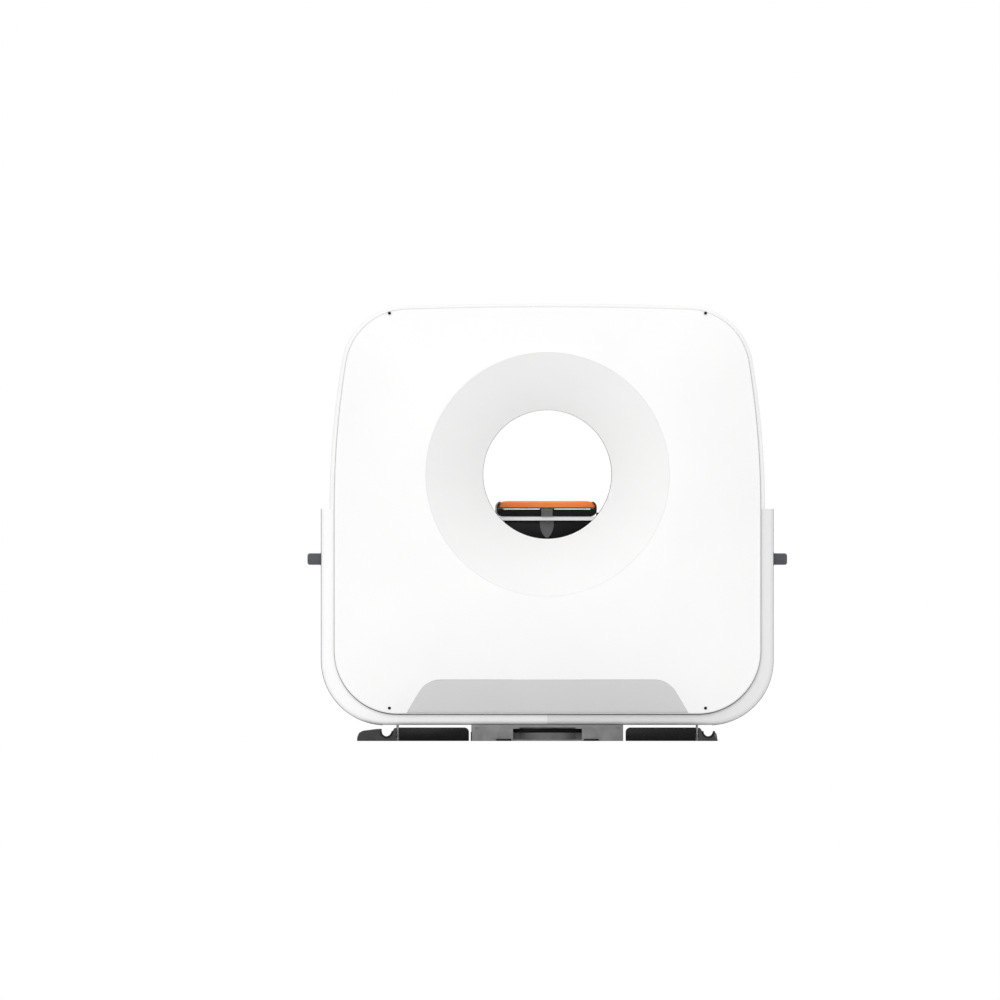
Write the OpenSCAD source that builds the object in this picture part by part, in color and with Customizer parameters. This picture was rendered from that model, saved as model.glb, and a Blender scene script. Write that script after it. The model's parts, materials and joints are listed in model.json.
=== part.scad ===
// Computed tomography scanner: a fixed gantry, its turning ring and the patient table before it.
// X runs across, Y along the bore from the rear face to the table, Z up. All sizes in millimetres.
// The origin is on the floor, straight below the middle of the bore.

/* [Bore] */
// Height of the bore's axis above the floor
iso_z = 1240; // [1225:1:1250]
// Radius of the patient bore
bore_r = 300; // [290:1:310]
// Radius of the flared rim on both faces
flare_r = 567; // [540:1:590]
// Distance from the scan plane to the flared rim
rim_y = 430; // [410:1:460]
// Distance from the scan plane to the throat, where cone and tube meet
throat_y = 110; // [100:1:118]
// Half of the scan window's width along the bore
window_y = 31; // [20:1:45]
// Wall of the scan window ring
window_wall = 2.5; // [1.5:0.5:4]
// Wall of the moulded covers, cones and tubes
skin = 5; // [3:0.5:7]
// Width of the cone's flange behind the cover
cone_flange_w = 20; // [12:1:30]

/* [Covers] */
// Height of the seam between the upper cover and the side skirts
seam_z = 1080; // [1000:5:1150]
// Half-width of the upper cover at the seam
upper_w = 1012; // [1005:1:1025]
// Height of the upper cover above the bore's axis
upper_top = 794; // [790:1:820]
// Radius of the upper cover's corners
upper_corner_r = 305; // [285:5:340]
// Radius of the upper cover's long side curve
upper_side_r = 4100; // [3900:50:4500]
// Half-width of the side skirts
skirt_w = 1050; // [1035:1:1070]
// Height of the skirts' lower edge
skirt_bottom = 75; // [70:1:80]
// Radius of the skirts' lower corners
skirt_corner_r = 300; // [280:5:320]
// Half-width of the face covers
face_w = 991; // [975:1:996]
// Height of the face covers' top edge above the bore's axis
face_top = 778; // [760:1:780]
// Height of the face covers' lower edge
face_bottom = 126; // [120:1:135]
// Radius of the face covers' upper corners
face_corner_r = 290; // [270:5:320]
// Radius of the face covers' lower corners
face_low_corner_r = 293; // [270:1:310]
// Radius of the face covers' long side curve
face_side_r = 4300; // [4100:50:4600]
// Radius of the crowned top of all covers
crown_r = 20000; // [15000:1000:30000]
// Distance from the scan plane to the face covers' outer edge
edge_y = 300; // [290:1:320]
// Rounding of the face covers' outer edge
edge_round = 10; // [8:1:14]
// Width trimmed off the face covers' rim to leave a true circle
rim_trim = 4; // [3:0.5:8]
// How fast the face covers fall away from the rim
bulge_power = 1.6; // [1.3:0.1:2]
// Distance from the scan plane to the flat band that the face covers sit on
band_y = 262; // [250:1:275]
// Rounding between the band and the sides
band_round = 22; // [16:1:26]
// Width of the band under a face cover's edge
seat_w = 15; // [12:1:20]

/* [Kick panels] */
// Height of a kick panel's top edge
kick_top = 285; // [260:1:310]
// Height of a kick panel's lower edge
kick_bottom = 131; // [130:1:138]
// Half-width of the straight part of a kick panel's top edge
kick_flat_w = 496; // [450:1:520]
// Radius of a kick panel's top corners
kick_corner_r = 116; // [100:1:125]
// Lean of a kick panel's sides from vertical, in degrees
kick_slant = 31; // [20:1:32]

/* [Screws and buffers] */
// Distance of the cover screws from the middle plane
screw_x = 735; // [725:1:745]
// Height of the upper cover screws above the bore's axis
screw_high_z = 750; // [744:1:752]
// Height of the lower cover screws
screw_low_z = 153; // [146:1:160]
// Radius of a cover screw's head
screw_r = 7; // [5:0.5:9]
// Height that a screw head stands above the cover's edge plane
screw_proud = 7; // [6:0.5:9]
// Height of the side buffers' axis
buffer_z = 846; // [800:1:900]
// Radius of a side buffer
buffer_r = 27; // [22:1:32]
// Length of a side buffer
buffer_len = 65; // [55:1:75]
// Rounding of a side buffer's outer end
buffer_round = 14; // [8:1:18]
// Radius of a side buffer's flange
buffer_flange_r = 30; // [29:1:38]
// Thickness of a side buffer's flange
buffer_flange = 4; // [3:0.5:6]

/* [Base] */
// Half-width of the steel base block
block_w = 352; // [340:1:356]
// Half-depth of the base block and the feet
base_y = 285; // [270:1:290]
// Half-width of the recess in the base block
recess_w = 160; // [140:1:180]
// Height of the recess floor
recess_low = 6; // [4:1:10]
// Height of the recess roof
recess_high = 57; // [52:1:60]
// Depth of the recess
recess_deep = 85; // [70:1:95]
// Radius of the round housing inside the recess
recess_round_r = 180; // [165:1:200]
// Height of the round housing
recess_round_h = 39; // [30:1:45]
// Half-width of the raised step in the recess roof
recess_step_w = 130; // [110:1:135]
// Height of the raised step in the recess roof
recess_step = 6; // [4:1:8]
// Half-width of the slab that carries the ring frame
slab_w = 740; // [735:1:746]
// Height of the slab's top
slab_top = 110; // [105:1:115]
// Distance from the scan plane to the slab's rear and front edges
slab_y = 205; // [200:1:225]
// Inner end of a foot cover
foot_in = 365; // [360:1:375]
// Outer end of a foot cover
foot_out = 689; // [680:1:690]
// Height of a foot cover
foot_h = 63; // [60:1:66]
// Rounding of a foot cover's inner top corner
foot_round = 22; // [15:1:26]
// Wall of a foot cover
foot_wall = 4; // [3:0.5:5]
// Inner end of an anchor foot
anchor_in = 703; // [702:1:706]
// Outer end of the left anchor foot
anchor_out_left = 884; // [860:1:890]
// Outer end of the right anchor foot
anchor_out_right = 792; // [788:1:800]
// Place of the anchor feet's U notch
notch_x = 748; // [746:1:752]
// Radius of the notch
notch_r = 22; // [20:1:24]
// Height of the notch's lowest point
notch_low = 22; // [18:1:26]
// Length of an anchor foot along the bore
anchor_len = 150; // [120:5:200]
// Radius of a levelling bolt
level_r = 5; // [4:0.5:6]
// Radius of a levelling bolt's pad
level_pad_r = 6.5; // [6:0.5:6.5]
// Height of a levelling bolt's nut above the floor
level_nut_z = 24; // [20:1:30]
// Distance of the foot beams and levelling bolts from the scan plane
outrigger_y = 200; // [190:1:200]
// Half-width of a foot beam
beam_half = 45; // [30:1:50]
// Distance of the floor anchor holes from the middle plane
anchor_hole_x = 292; // [260:1:300]
// Distance of the floor anchor holes from the scan plane
anchor_hole_y = 245; // [240:1:250]
// Radius of the floor anchor holes
anchor_hole_r = 9; // [7:0.5:11]

/* [Ring frame and bearing] */
// Thickness of the ring frame's plate
plate_t = 40; // [30:1:50]
// Distance from the scan plane to the plate's front face, behind the scan plane
plate_y = 120; // [118:1:130]
// Outer radius of the ring frame
plate_r = 610; // [580:5:640]
// Half-width of the ring frame's feet
plate_foot_w = 735; // [720:1:738]
// Height of the plate's shoulders above the base
shoulder_h = 420; // [400:5:440]
// Radius of the plate's bearing seat
race_seat_r = 440; // [435:1:460]
// Radius at which the two bearing races run
race_r = 397; // [393:1:405]
// Inner radius of the inner race
race_in_r = 362; // [358:1:370]
// Running clearance of races and shafts
run_fit = 0.05; // [0.02:0.01:0.09]
// Half-width of the opening in the foot of the ring frame
plate_hole_w = 160; // [140:5:165]
// Height of the opening in the foot of the ring frame
plate_hole_h = 300; // [240:10:320]
// Distance of the ring frame's ribs from the middle plane
rib_x = 520; // [480:5:540]
// Thickness of a rib
rib_t = 25; // [15:1:30]
// Length of a rib along the bore
rib_len = 42; // [30:1:44]
// Height of a rib
rib_h = 300; // [200:10:320]

/* [Cabinets] */
// Distance of both cabinets from the middle plane
cabinet_in = 330; // [300:5:400]
// Outer end of the power cabinet
power_out = 700; // [600:5:735]
// Height of the power cabinet
power_h = 300; // [240:10:320]
// Outer end of the control cabinet
control_out = 560; // [480:5:565]
// Height of the control cabinet
control_h = 260; // [200:10:280]
// Distance from the slab's front edge to the cabinets
cabinet_edge = 10; // [5:1:20]
// Distance from the scan plane to the power cabinet, behind the scan plane
power_back = 60; // [40:1:70]

/* [Turning ring] */
// Outer radius of the drum
drum_r = 690; // [680:1:695]
// Thickness of the drum's disc
disc_t = 30; // [20:1:40]
// Radius on which the holes in the drum's disc lie
disc_hole_at = 470; // [462:1:480]
// Radius of the holes in the drum's disc
disc_hole_r = 52; // [45:1:56]
// Thickness of the drum's rim
rim_t = 28; // [20:1:32]
// Distance from the scan plane to the front end of the drum's rim
drum_front = 80; // [60:1:100]
// Width of the slip ring
slip_w = 56; // [45:1:60]
// Radial height of the slip ring
slip_h = 24; // [18:1:28]
// Number of brush tracks on the slip ring
tracks = 5; // [3:1:6]
// Radial height of the belt land on the drum
land_h = 20; // [14:1:22]
// Width of the belt land
land_w = 40; // [30:1:46]
// Width of the drive belt
belt_w = 34; // [24:1:36]
// Thickness of the drive belt
belt_t = 6; // [4:0.5:8]
// Radius of the motor pulley
pulley_r = 55; // [45:1:65]
// Place of the motor shaft across the gantry
motor_x = 655; // [650:1:665]
// Height of the motor shaft
motor_z = 390; // [380:1:400]
// Radius of the drive motor
motor_r = 72; // [60:1:76]
// Length of the drive motor
motor_len = 96; // [80:1:98]
// Radius of the motor shaft
shaft_r = 14; // [10:1:16]

/* [Imaging pieces] */
// Distance of the X-ray tube's axis from the bore's axis
tube_at = 530; // [525:1:533]
// Radius of the X-ray tube's housing
tube_r = 118; // [105:1:122]
// Length of the X-ray tube's housing
tube_len = 290; // [250:1:300]
// Half-width of the collimator
collimator_w = 105; // [90:1:115]
// Height of the collimator
collimator_h = 48; // [40:1:52]
// Distance from the focal spot to the detector's face
detector_r = 930; // [920:1:940]
// Radial depth of the detector
detector_t = 72; // [60:1:76]
// Half of the detector's fan angle, in degrees
fan = 25; // [22:1:26]
// Half-width of a data module
module_w = 30; // [20:1:32]
// Distance from the detector's edge to the data modules
module_inset = 20; // [10:1:30]
// Number of data modules behind the detector
modules = 10; // [6:1:12]
// Height of a data module
module_h = 34; // [25:1:38]
// Half-width of the detector along the bore, before the scan plane
detector_y = 60; // [50:1:70]
// Nearest distance of the two side tanks from the bore's axis
tank_in = 400; // [390:1:420]
// Farthest distance of the two side tanks from the bore's axis
tank_out = 635; // [620:1:638]
// Half-height of the two side tanks
tank_h = 120; // [100:1:130]
// Distance from the scan plane to the front of the two side tanks
tank_front = 150; // [125:1:170]
// Distance from the scan plane to the front of the heat exchanger's core
core_front = 110; // [80:1:120]
// Number of fins on the heat exchanger
fins = 9; // [6:1:11]
// Thickness of a fin
fin_t = 5; // [3:1:7]
// Inner radius of the counterweights
weight_in = 560; // [540:1:580]
// Half of a counterweight's angle, in degrees
weight_half = 12; // [8:1:12]
// Distance from the scan plane to the counterweights' front face
weight_front = 38; // [20:1:60]

/* [Front controls] */
// Distance of the control panels' middle from the face cover's side edge
panel_inset = 201; // [191:1:221]
// Height of the control panels' middle
panel_z = 1240; // [1200:5:1300]
// Width of a control panel
panel_w = 110; // [100:1:120]
// Height of a control panel
panel_h = 270; // [250:1:290]
// Rounding of a control panel's corners
panel_round = 24; // [15:1:30]
// Distance from the scan plane to the panels' faces
panel_face = 404; // [400:1:412]
// Depth of a control panel
panel_deep = 40; // [36:1:46]
// Radius of a key
key_r = 13; // [10:0.5:15]
// Travel of a key
key_travel = 1.5; // [1:0.1:2]
// Height that a key stands above its panel
key_proud = 3; // [2.5:0.1:4]
// Spacing of the keys
key_step = 52; // [46:1:58]
// Radius of an emergency stop's head
stop_r = 20; // [17:0.5:22]
// Radius of an emergency stop's stem
stop_stem_r = 11; // [9:0.5:13]
// Travel of an emergency stop
stop_travel = 5; // [3:0.5:6]
// Width of the display
display_w = 340; // [300:1:380]
// Height of the display
display_h = 96; // [80:1:110]
// Height of the display's middle above the bore's axis
display_z = 665; // [655:1:675]
// Distance from the scan plane to the display's face
display_face = 424; // [420:1:430]
// Depth of the display's housing
display_deep = 60; // [50:1:70]

/* [Table base and lift] */
// Distance of the table's column from the scan plane
column_y = 1180; // [1150:5:1250]
// Length of the table's base plate along the bore
base_len = 980; // [900:10:1050]
// Half-width of the base plate
base_w = 300; // [280:1:320]
// Thickness of the base plate
base_t = 18; // [14:1:20]
// Length of the outer cover along the bore
cover_len = 760; // [700:10:800]
// Half-width of the outer cover
cover_w = 230; // [215:1:245]
// Height of each cover's top in the lowest position
cover_h = 330; // [325:1:335]
// Rounding of the covers' upright edges
cover_round = 60; // [45:1:75]
// Wall of the telescoping covers
cover_wall = 4; // [3:0.5:5]
// Air between one telescoping cover and the next
cover_air = 4; // [3:0.5:5]
// Lift of the table above its lowest position
lift = 550; // [500:5:560]
// Half-width of the fixed column
post_w = 55; // [45:1:65]
// Wall of the column tubes
tube_wall = 10; // [7:0.5:12]
// Thickness of the middle cover's floor
web_t = 6; // [4:0.5:8]
// Height of the middle stage above the base plate in the lowest position
nest = 7; // [5:0.5:9]

/* [Table top] */
// Height of the table frame's underside in the lowest position
frame_low = 341; // [340:1:345]
// Height of the table frame
frame_h = 153; // [140:1:170]
// Half-width of the table frame at its top
frame_w = 290; // [280:1:310]
// Half-width of the table frame at its underside
frame_low_w = 236; // [225:1:245]
// Thickness of the frame's top plate
frame_plate = 18.7; // [15:0.1:22]
// Wall of the table frame
frame_wall = 6; // [4:0.5:8]
// Distance from the scan plane to the frame's head end
frame_head = 560; // [540:1:580]
// Distance from the scan plane to the head end of the frame's top plate
plate_head = 486; // [484:1:520]
// Distance from the scan plane to the frame's foot end
frame_foot = 2900; // [2800:10:3000]
// Thickness of the frame's end caps
cap_t = 20; // [12:1:30]
// Half-width of the tongue on the head end cap
tongue_w = 33; // [26:1:40]
// Thickness of the tongue
tongue_t = 5; // [3:0.5:8]
// Distance from the scan plane to the cradle's head end
cradle_head = 480; // [470:1:500]
// Distance from the scan plane to the cradle's foot end
cradle_foot = 2880; // [2750:10:2900]
// Half-width of the tray's flat underside
tray_low_w = 205; // [190:1:210]
// Height of the tray from its underside to its bed
tray_h = 36; // [32:1:38]
// Width of the tray's rims
tray_lip_w = 5; // [4:0.5:5]
// Gap between the mattress and the rims
tray_gap = 1; // [0.5:0.1:1.5]
// Angle over which the rims curl round the mattress
rim_curl = 50; // [30:5:55]
// Half-width of the mattress
mat_w = 226; // [220:1:226]
// Thickness of the mattress
mat_t = 35.5; // [35:0.5:40]
// Rounding of the mattress edges
mat_round = 17; // [10:1:17]
// Distance from the tray's ends to the mattress
mat_end = 25; // [15:1:40]
// Half-width of the head socket
socket_w = 26; // [22:1:30]
// Thickness of the head socket
socket_t = 12; // [8:1:16]
// Radius of the head socket's two pin holes
socket_hole_r = 5; // [4:0.5:6]
// Distance between the head socket's pin holes
socket_step = 28; // [24:1:32]
// Depth of the pin holes in the cradle behind the socket
socket_deep = 60; // [40:5:90]
// Distance between the strap hooks along the table
hook_step = 400; // [300:10:500]
// Number of strap hooks on each side
hooks = 5; // [3:1:5]

/* [Foot pedals] */
// Distance of a pedal's middle from the middle plane
pedal_x = 110; // [100:1:120]
// Width of a pedal
pedal_w = 90; // [70:1:100]
// Length of a pedal
pedal_len = 95; // [80:1:110]
// Thickness of a pedal
pedal_t = 10; // [8:0.5:12]
// Height of a pedal's hinge
pedal_z = 40; // [36:1:44]
// Radius of a pedal's hinge pin
pin_r = 6; // [5:0.5:7]

/* [Clearances] */
// Seating clearance between pieces of one body
seat = 0.3; // [0.1:0.05:0.5]
// Gap round a panel or screw let into a cover
reveal = 0.6; // [0.4:0.1:0.9]
// Sliding clearance between pieces that move
slide = 0.3; // [0.2:0.05:0.5]

/* [Hidden] */
white = [0.95, 0.95, 0.95];
pale = [0.85, 0.86, 0.87];
grey = [0.62, 0.62, 0.62];
steel = [0.48, 0.49, 0.5];
black = [0.1, 0.1, 0.11];
// Round pieces carry over as true circles at this fineness
$fn = 64;
// Points along each stretch of a cover's outline
flat_n = 3;
side_n = 5;
corner_n = 9;
crown_n = 4;
// First step of a face cover from its rim, as a share of the way to its outline
first_step = 0.15;
bore_axis = [0, iso_z];
cone_slope = (flare_r - bore_r) / (rim_y - throat_y);
plate_back = plate_y + plate_t;
// The inner race starts just clear of the plate's front face, and the drum's disc sits on it
disc_back = plate_y - 12;
disc_front = disc_back - disc_t;
belt_mid = disc_back - slip_w - land_w / 2 - 6;
belt_land_r = drum_r + land_h;
focal_z = iso_z + tube_at;
column_low = base_t + nest;
post_top = cover_h;
middle_w = post_w + slide + tube_wall;
top_w = middle_w + slide + tube_wall;
middle_len = cover_h - column_low;
middle_low = column_low + lift / 2;
top_low = column_low + web_t + nest;
frame_z = frame_low + lift;
cradle_z = frame_z + frame_h + slide;
bed_z = cradle_z + tray_h;
mat_z = bed_z + seat;
tray_w = mat_w + tray_gap + tray_lip_w;
key_z = [panel_z + 2 * key_step - panel_h / 2, panel_z + 3 * key_step - panel_h / 2];
stop_z = panel_z + panel_h / 2 - stop_r - 16;
stop_cap = 12;
panel_x = face_w - panel_inset;
weight_at = [209, 331];
pedal_y = column_y + base_len / 2;
pedal_gap = 1;
link_y = outrigger_y - level_pad_r - 4;
lining_t = 3;
lug_w = 8;

// Points on an arc, first and last angle included
function arc(c, r, a, b, n) =
    [for (i = [0 : n]) c + r * [cos(a + (b - a) * i / n), sin(a + (b - a) * i / n)]];
// A list without its first entry
function tail(list) = [for (i = [1 : len(list) - 1]) list[i]];
// Direction of a vector, in degrees
function bearing(v) = atan2(v[1], v[0]);
// The upper right crossing of two circles
function crossing(s, rs, t, rt) =
    let (d = norm(t - s), u = (t - s) / d, a = (rs * rs - rt * rt + d * d) / (2 * d))
    s + a * u + sqrt(rs * rs - a * a) * [-u[1], u[0]];
// Right half of a cover's outline above the seam: side, corner and crown arcs, drawn in by k
function half_top(w, side_r, corner_r, top, k) =
    let (s = [w - side_r, seam_z],
         t = [0, top - crown_r],
         c = crossing(s, side_r - corner_r, t, crown_r - corner_r))
    concat(arc(s, side_r - k, 0, bearing(c - s), side_n),
        tail(arc(c, corner_r - k, bearing(c - s), bearing(c - t), corner_n)),
        tail(arc(t, crown_r - k, bearing(c - t), 90, crown_n)));
// Right half of an outline below the seam, from the bottom centre, drawn in by k
function half_low(w, corner_r, bottom, k) =
    concat([for (i = [0 : flat_n - 1]) [(w - corner_r) * i / flat_n, bottom + k]],
        arc([w - corner_r, bottom + corner_r], corner_r - k, -90, 0, corner_n),
        [for (i = [1 : flat_n])
            [w - k, bottom + corner_r + (seam_z - bottom - corner_r) * i / flat_n]]);
// A half outline and its mirror image, as one closed loop
function whole(half) =
    concat(half, [for (i = [len(half) - 2 : -1 : 1]) [-half[i][0], half[i][1]]]);
// A face cover's outline, drawn in by k
function face_loop(k) =
    whole(concat(half_low(face_w, face_low_corner_r, face_bottom, k),
        tail(half_top(face_w, face_side_r, face_corner_r, iso_z + face_top, k))));
function in_plane(points, y) = [for (p = points) [p[0], y, p[1]]];
// A row of a face cover between the flared rim (s = 0) and its outline (s = 1)
function face_row(s, dy) =
    let (rim = flare_r + reveal - rim_trim, y = rim_y - (rim_y - edge_y) * pow(s, bulge_power))
    in_plane([for (p = face_loop(edge_round))
        let (u = (p - bore_axis) / norm(p - bore_axis)) (bore_axis + rim * u) * (1 - s) + p * s],
        dy - y);
// The moulded face cover as rows from the rim, over the face, round the edge and back inside
function face_rows() = concat(
    [for (s = [0, first_step, 0.32, 0.5, 0.68, 0.85, 1]) face_row(s, 0)],
    [in_plane(face_loop(0.3 * edge_round), -edge_y + 0.3 * edge_round),
     in_plane(face_loop(0), -edge_y + edge_round),
     in_plane(face_loop(0), -band_y - seat),
     in_plane(face_loop(skin), -band_y - seat),
     in_plane(face_loop(skin), -edge_y + edge_round + 1)],
    [for (s = [1, 0.68, 0.32, first_step, 0]) face_row(s, skin)]);
// Rows of a shell round the gantry: rear band, side and front band, outside and then inside
function shell_rows(outer, seat_edge) =
    let (turn = [for (a = [0, 35, 65, 90]) [1 - cos(a), sin(a)]],
         r_in = band_round - skin,
         rear = concat([in_plane(seat_edge, -band_y)],
             [for (i = [3 : -1 : 0])
                 in_plane(outer[0][i], -band_y + band_round * (1 - turn[i][1]))]),
         back = concat(
             [for (i = [0 : 3]) in_plane(outer[1][i], -band_y + skin + r_in * (1 - turn[i][1]))],
             [in_plane(seat_edge, -band_y + skin)]))
    concat(rear, flip(rear), flip(back), back);
// The same rows on the other side of the scan plane, in reverse order
function flip(rows) =
    [for (i = [len(rows) - 1 : -1 : 0]) [for (p = rows[i]) [p[0], -p[1], p[2]]]];
// Insets of a shell's rounding, outside and inside
outer_insets = [for (a = [0, 35, 65, 90]) band_round * (1 - cos(a))];
inner_insets = [for (a = [0, 35, 65, 90]) skin + (band_round - skin) * (1 - cos(a))];

// A closed skin whose rows and columns both run round
module ring_skin(rows) {
    n = len(rows[0]);
    m = len(rows);
    faces = [for (i = [0 : m - 1], j = [0 : n - 1])
        let (a = i * n + j, b = i * n + (j + 1) % n, c = ((i + 1) % m) * n)
        each [[a, b, c + (j + 1) % n], [a, c + (j + 1) % n, c + j]]];
    polyhedron([for (row = rows) each row], faces);
}
// A closed skin whose rows run round and whose columns end in two flat faces
module strip_skin(rows) {
    n = len(rows[0]);
    m = len(rows);
    sides = [for (i = [0 : m - 1], j = [0 : n - 2])
        let (a = i * n + j, c = ((i + 1) % m) * n + j)
        each [[a, a + 1, c + 1], [a, c + 1, c]]];
    // Rows i and m - 1 - i lie face to face across the wall, so each end closes between them
    ends = [for (i = [0 : m / 2 - 2])
        let (a = i * n, b = a + n, c = (m - 2 - i) * n, d = c + n, e = n - 1)
        each [[a, b, c], [a, c, d], [a + e, c + e, b + e], [a + e, d + e, c + e]]];
    polyhedron([for (row = rows) each row], concat(sides, ends));
}
// A shape in the XZ plane, pushed from y0 to y1
module along_bore(y0, y1) {
    translate([0, y1, 0]) rotate([90, 0, 0]) linear_extrude(height = y1 - y0) children();
}
// A profile of radius and distance along the bore, turned about the bore's axis
module round_bore() {
    translate([0, 0, iso_z]) rotate([-90, 0, 0]) rotate_extrude($fn = 96) children();
}
// A cylinder along the bore
module bar(x, z, r, y0, y1) {
    translate([x, y0, z]) rotate([-90, 0, 0]) cylinder(h = y1 - y0, r = r);
}
// A block given by its lowest and highest corners
module block(low, high) {
    translate(low) cube(high - low);
}
// A rectangle with true round corners, centred
module rounded(w, h, r) {
    square([w, h - 2 * r], center = true);
    square([w - 2 * r, h], center = true);
    for (x = [-1, 1], y = [-1, 1])
        translate([x * (w / 2 - r), y * (h / 2 - r)]) circle(r);
}
// A copy on each side of the middle plane
module both_sides() {
    children();
    mirror([1, 0, 0]) children();
}
// A copy on each side of the scan plane
module both_faces() {
    children();
    mirror([0, 1, 0]) children();
}

// Steel block under the gantry with its recess, the slab on top and the beams inside the feet
module base_frame() {
    beam_z = foot_h - foot_wall - seat;
    color(steel) difference() {
        union() {
            block([-block_w, -base_y, 0], [block_w, base_y, skirt_bottom]);
            block([-slab_w, -slab_y, skirt_bottom], [slab_w, slab_y, slab_top]);
            both_sides() both_faces() {
                block([foot_in + foot_round + seat, outrigger_y - beam_half, 0],
                    [foot_out - foot_wall - seat, outrigger_y + beam_half, beam_z]);
                // A link that runs past the levelling bolt to the anchor foot
                block([foot_out - foot_wall - 1, outrigger_y - beam_half, 15],
                    [anchor_in - seat, link_y, beam_z]);
            }
        }
        both_faces() difference() {
            union() {
                block([-recess_w, -base_y - 1, recess_low], [recess_w, recess_deep - base_y, recess_high]);
                block([-recess_step_w, -base_y - 1, recess_high - 1],
                    [recess_step_w, recess_deep - base_y, recess_high + recess_step]);
            }
            translate([0, recess_deep / 3 - base_y + recess_round_r, 0])
                cylinder(h = recess_round_h, r = recess_round_r);
        }
        // Holes for the floor anchors, and a small lashing pocket near each upper corner
        both_sides() both_faces() {
            translate([anchor_hole_x, anchor_hole_y, -1]) cylinder(h = skirt_bottom + 2, r = anchor_hole_r);
            along_bore(-base_y - 1, 3 - base_y)
                polygon([[block_w - 33, foot_h - 1], [block_w - 17, foot_h - 1], [block_w - 20, foot_h - 8]]);
        }
    }
}
// Thin packing under the block, a rubber strip at its side and a black lining in each recess
module floor_shims() {
    color(black) {
        both_sides() block([recess_w + 9, -base_y - 20, 0], [recess_w + 78, -base_y - seat, 10]);
        block([-block_w - 5, -base_y, 0], [-block_w - seat, -outrigger_y - beam_half - seat, 42]);
        both_faces() block([seat - recess_w, recess_deep - base_y - lining_t - seat, recess_round_h + seat],
            [recess_w - seat, recess_deep - base_y - seat, recess_high - seat]);
    }
}
// Black covers over the foot beams, open below, with a rounded inner corner
module foot_covers() {
    color(black) both_sides() difference() {
        along_bore(-base_y, base_y) {
            translate([foot_in + foot_round, 0]) square([foot_out - foot_in - foot_round, foot_h]);
            translate([foot_in, 0]) square([foot_round + 1, foot_h - foot_round]);
            translate([foot_in + foot_round, foot_h - foot_round]) circle(foot_round);
        }
        block([foot_in + foot_wall, foot_wall - base_y, -1],
            [foot_out - foot_wall, base_y - foot_wall, foot_h - foot_round - 1]);
        block([foot_in + foot_round, foot_wall - base_y, -1],
            [foot_out - foot_wall, base_y - foot_wall, foot_h - foot_wall]);
        both_faces() block([foot_out - foot_wall - 1, outrigger_y - beam_half - seat, -1],
            [foot_out + 1, link_y + seat, foot_h - foot_wall]);
    }
}
// Profile of an anchor foot: a sloped inner lip, a U notch and an outer block
module anchor_profile(outer) {
    top = foot_h - 2;
    long = outer - notch_x > 60;
    back = long ? [[outer - 1, 18], [outer - 9, 38], [outer - 28, 48], [outer - 90, 56]] : [[outer - 6, 34]];
    polygon(concat([[anchor_in, 0], [outer, 0]], back, [[notch_x + notch_r + 1, long ? 57 : 47]],
        arc([notch_x, notch_low + notch_r], notch_r, 0, -145, 10),
        [[anchor_in + 6, top], [anchor_in, top]]));
}
module anchor_feet() {
    color(black) for (side = [-1, 1]) mirror([side < 0 ? 1 : 0, 0, 0]) both_faces()
        along_bore(outrigger_y - anchor_len / 2, outrigger_y + anchor_len / 2)
            anchor_profile(side < 0 ? anchor_out_left : anchor_out_right);
}
module levelling_bolts() {
    color(pale) both_sides() both_faces() translate([(foot_out + anchor_in) / 2, outrigger_y, 0]) {
        cylinder(h = skirt_bottom - seat, r = level_r);
        cylinder(h = 12, r = level_pad_r);
        translate([0, 0, level_nut_z]) cylinder(h = 12, r = level_pad_r);
    }
}
// Steel plate that carries the bearing, on two spread feet
module stator_frame() {
    color(steel) difference() {
        along_bore(-plate_back, -plate_y) difference() {
            union() {
                translate(bore_axis) circle(plate_r);
                polygon([[-plate_foot_w, slab_top], [plate_foot_w, slab_top], [plate_foot_w, slab_top + shoulder_h],
                    [plate_r * cos(20), iso_z - plate_r * sin(20)],
                    [-plate_r * cos(20), iso_z - plate_r * sin(20)], [-plate_foot_w, slab_top + shoulder_h]]);
            }
            translate(bore_axis) circle(race_seat_r);
            translate([0, slab_top + 90 + plate_hole_h / 2]) rounded(2 * plate_hole_w, plate_hole_h, 60);
        }
        bar(motor_x, motor_z, shaft_r + 6, -plate_back - 1, -plate_y + 1);
    }
    color(steel) both_sides() difference() {
        block([rib_x, -plate_back - rib_len, slab_top], [rib_x + rib_t, -plate_back, slab_top + rib_h]);
        translate([rib_x - 1, -plate_back, slab_top + rib_h]) rotate([0, 90, 0])
            linear_extrude(height = rib_t + 2)
                polygon([[0, 0], [-1, -rib_len - 1], [rib_h - 20, -rib_len - 1], [rib_h - 20, -rib_len]]);
    }
}
// Bearing race fixed in the plate, with a flange on its front face
module outer_race() {
    color(steel) round_bore() polygon([[race_r + run_fit, -plate_back], [race_seat_r - seat, -plate_back],
        [race_seat_r - seat, -plate_y + seat], [race_seat_r + 26, -plate_y + seat],
        [race_seat_r + 26, -plate_y + 8], [race_r + run_fit, -plate_y + 8]]);
}
// Bearing race that turns, with its raceway groove
module inner_race() {
    groove = 6;
    mid = -(plate_back + plate_y) / 2;
    color(steel) round_bore() polygon(concat([[race_in_r, -plate_back + 2], [race_r, -plate_back + 2]],
        arc([race_r, mid], groove, -90, -270, 8),
        [[race_r, -disc_back], [race_in_r, -disc_back]]));
}
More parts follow.
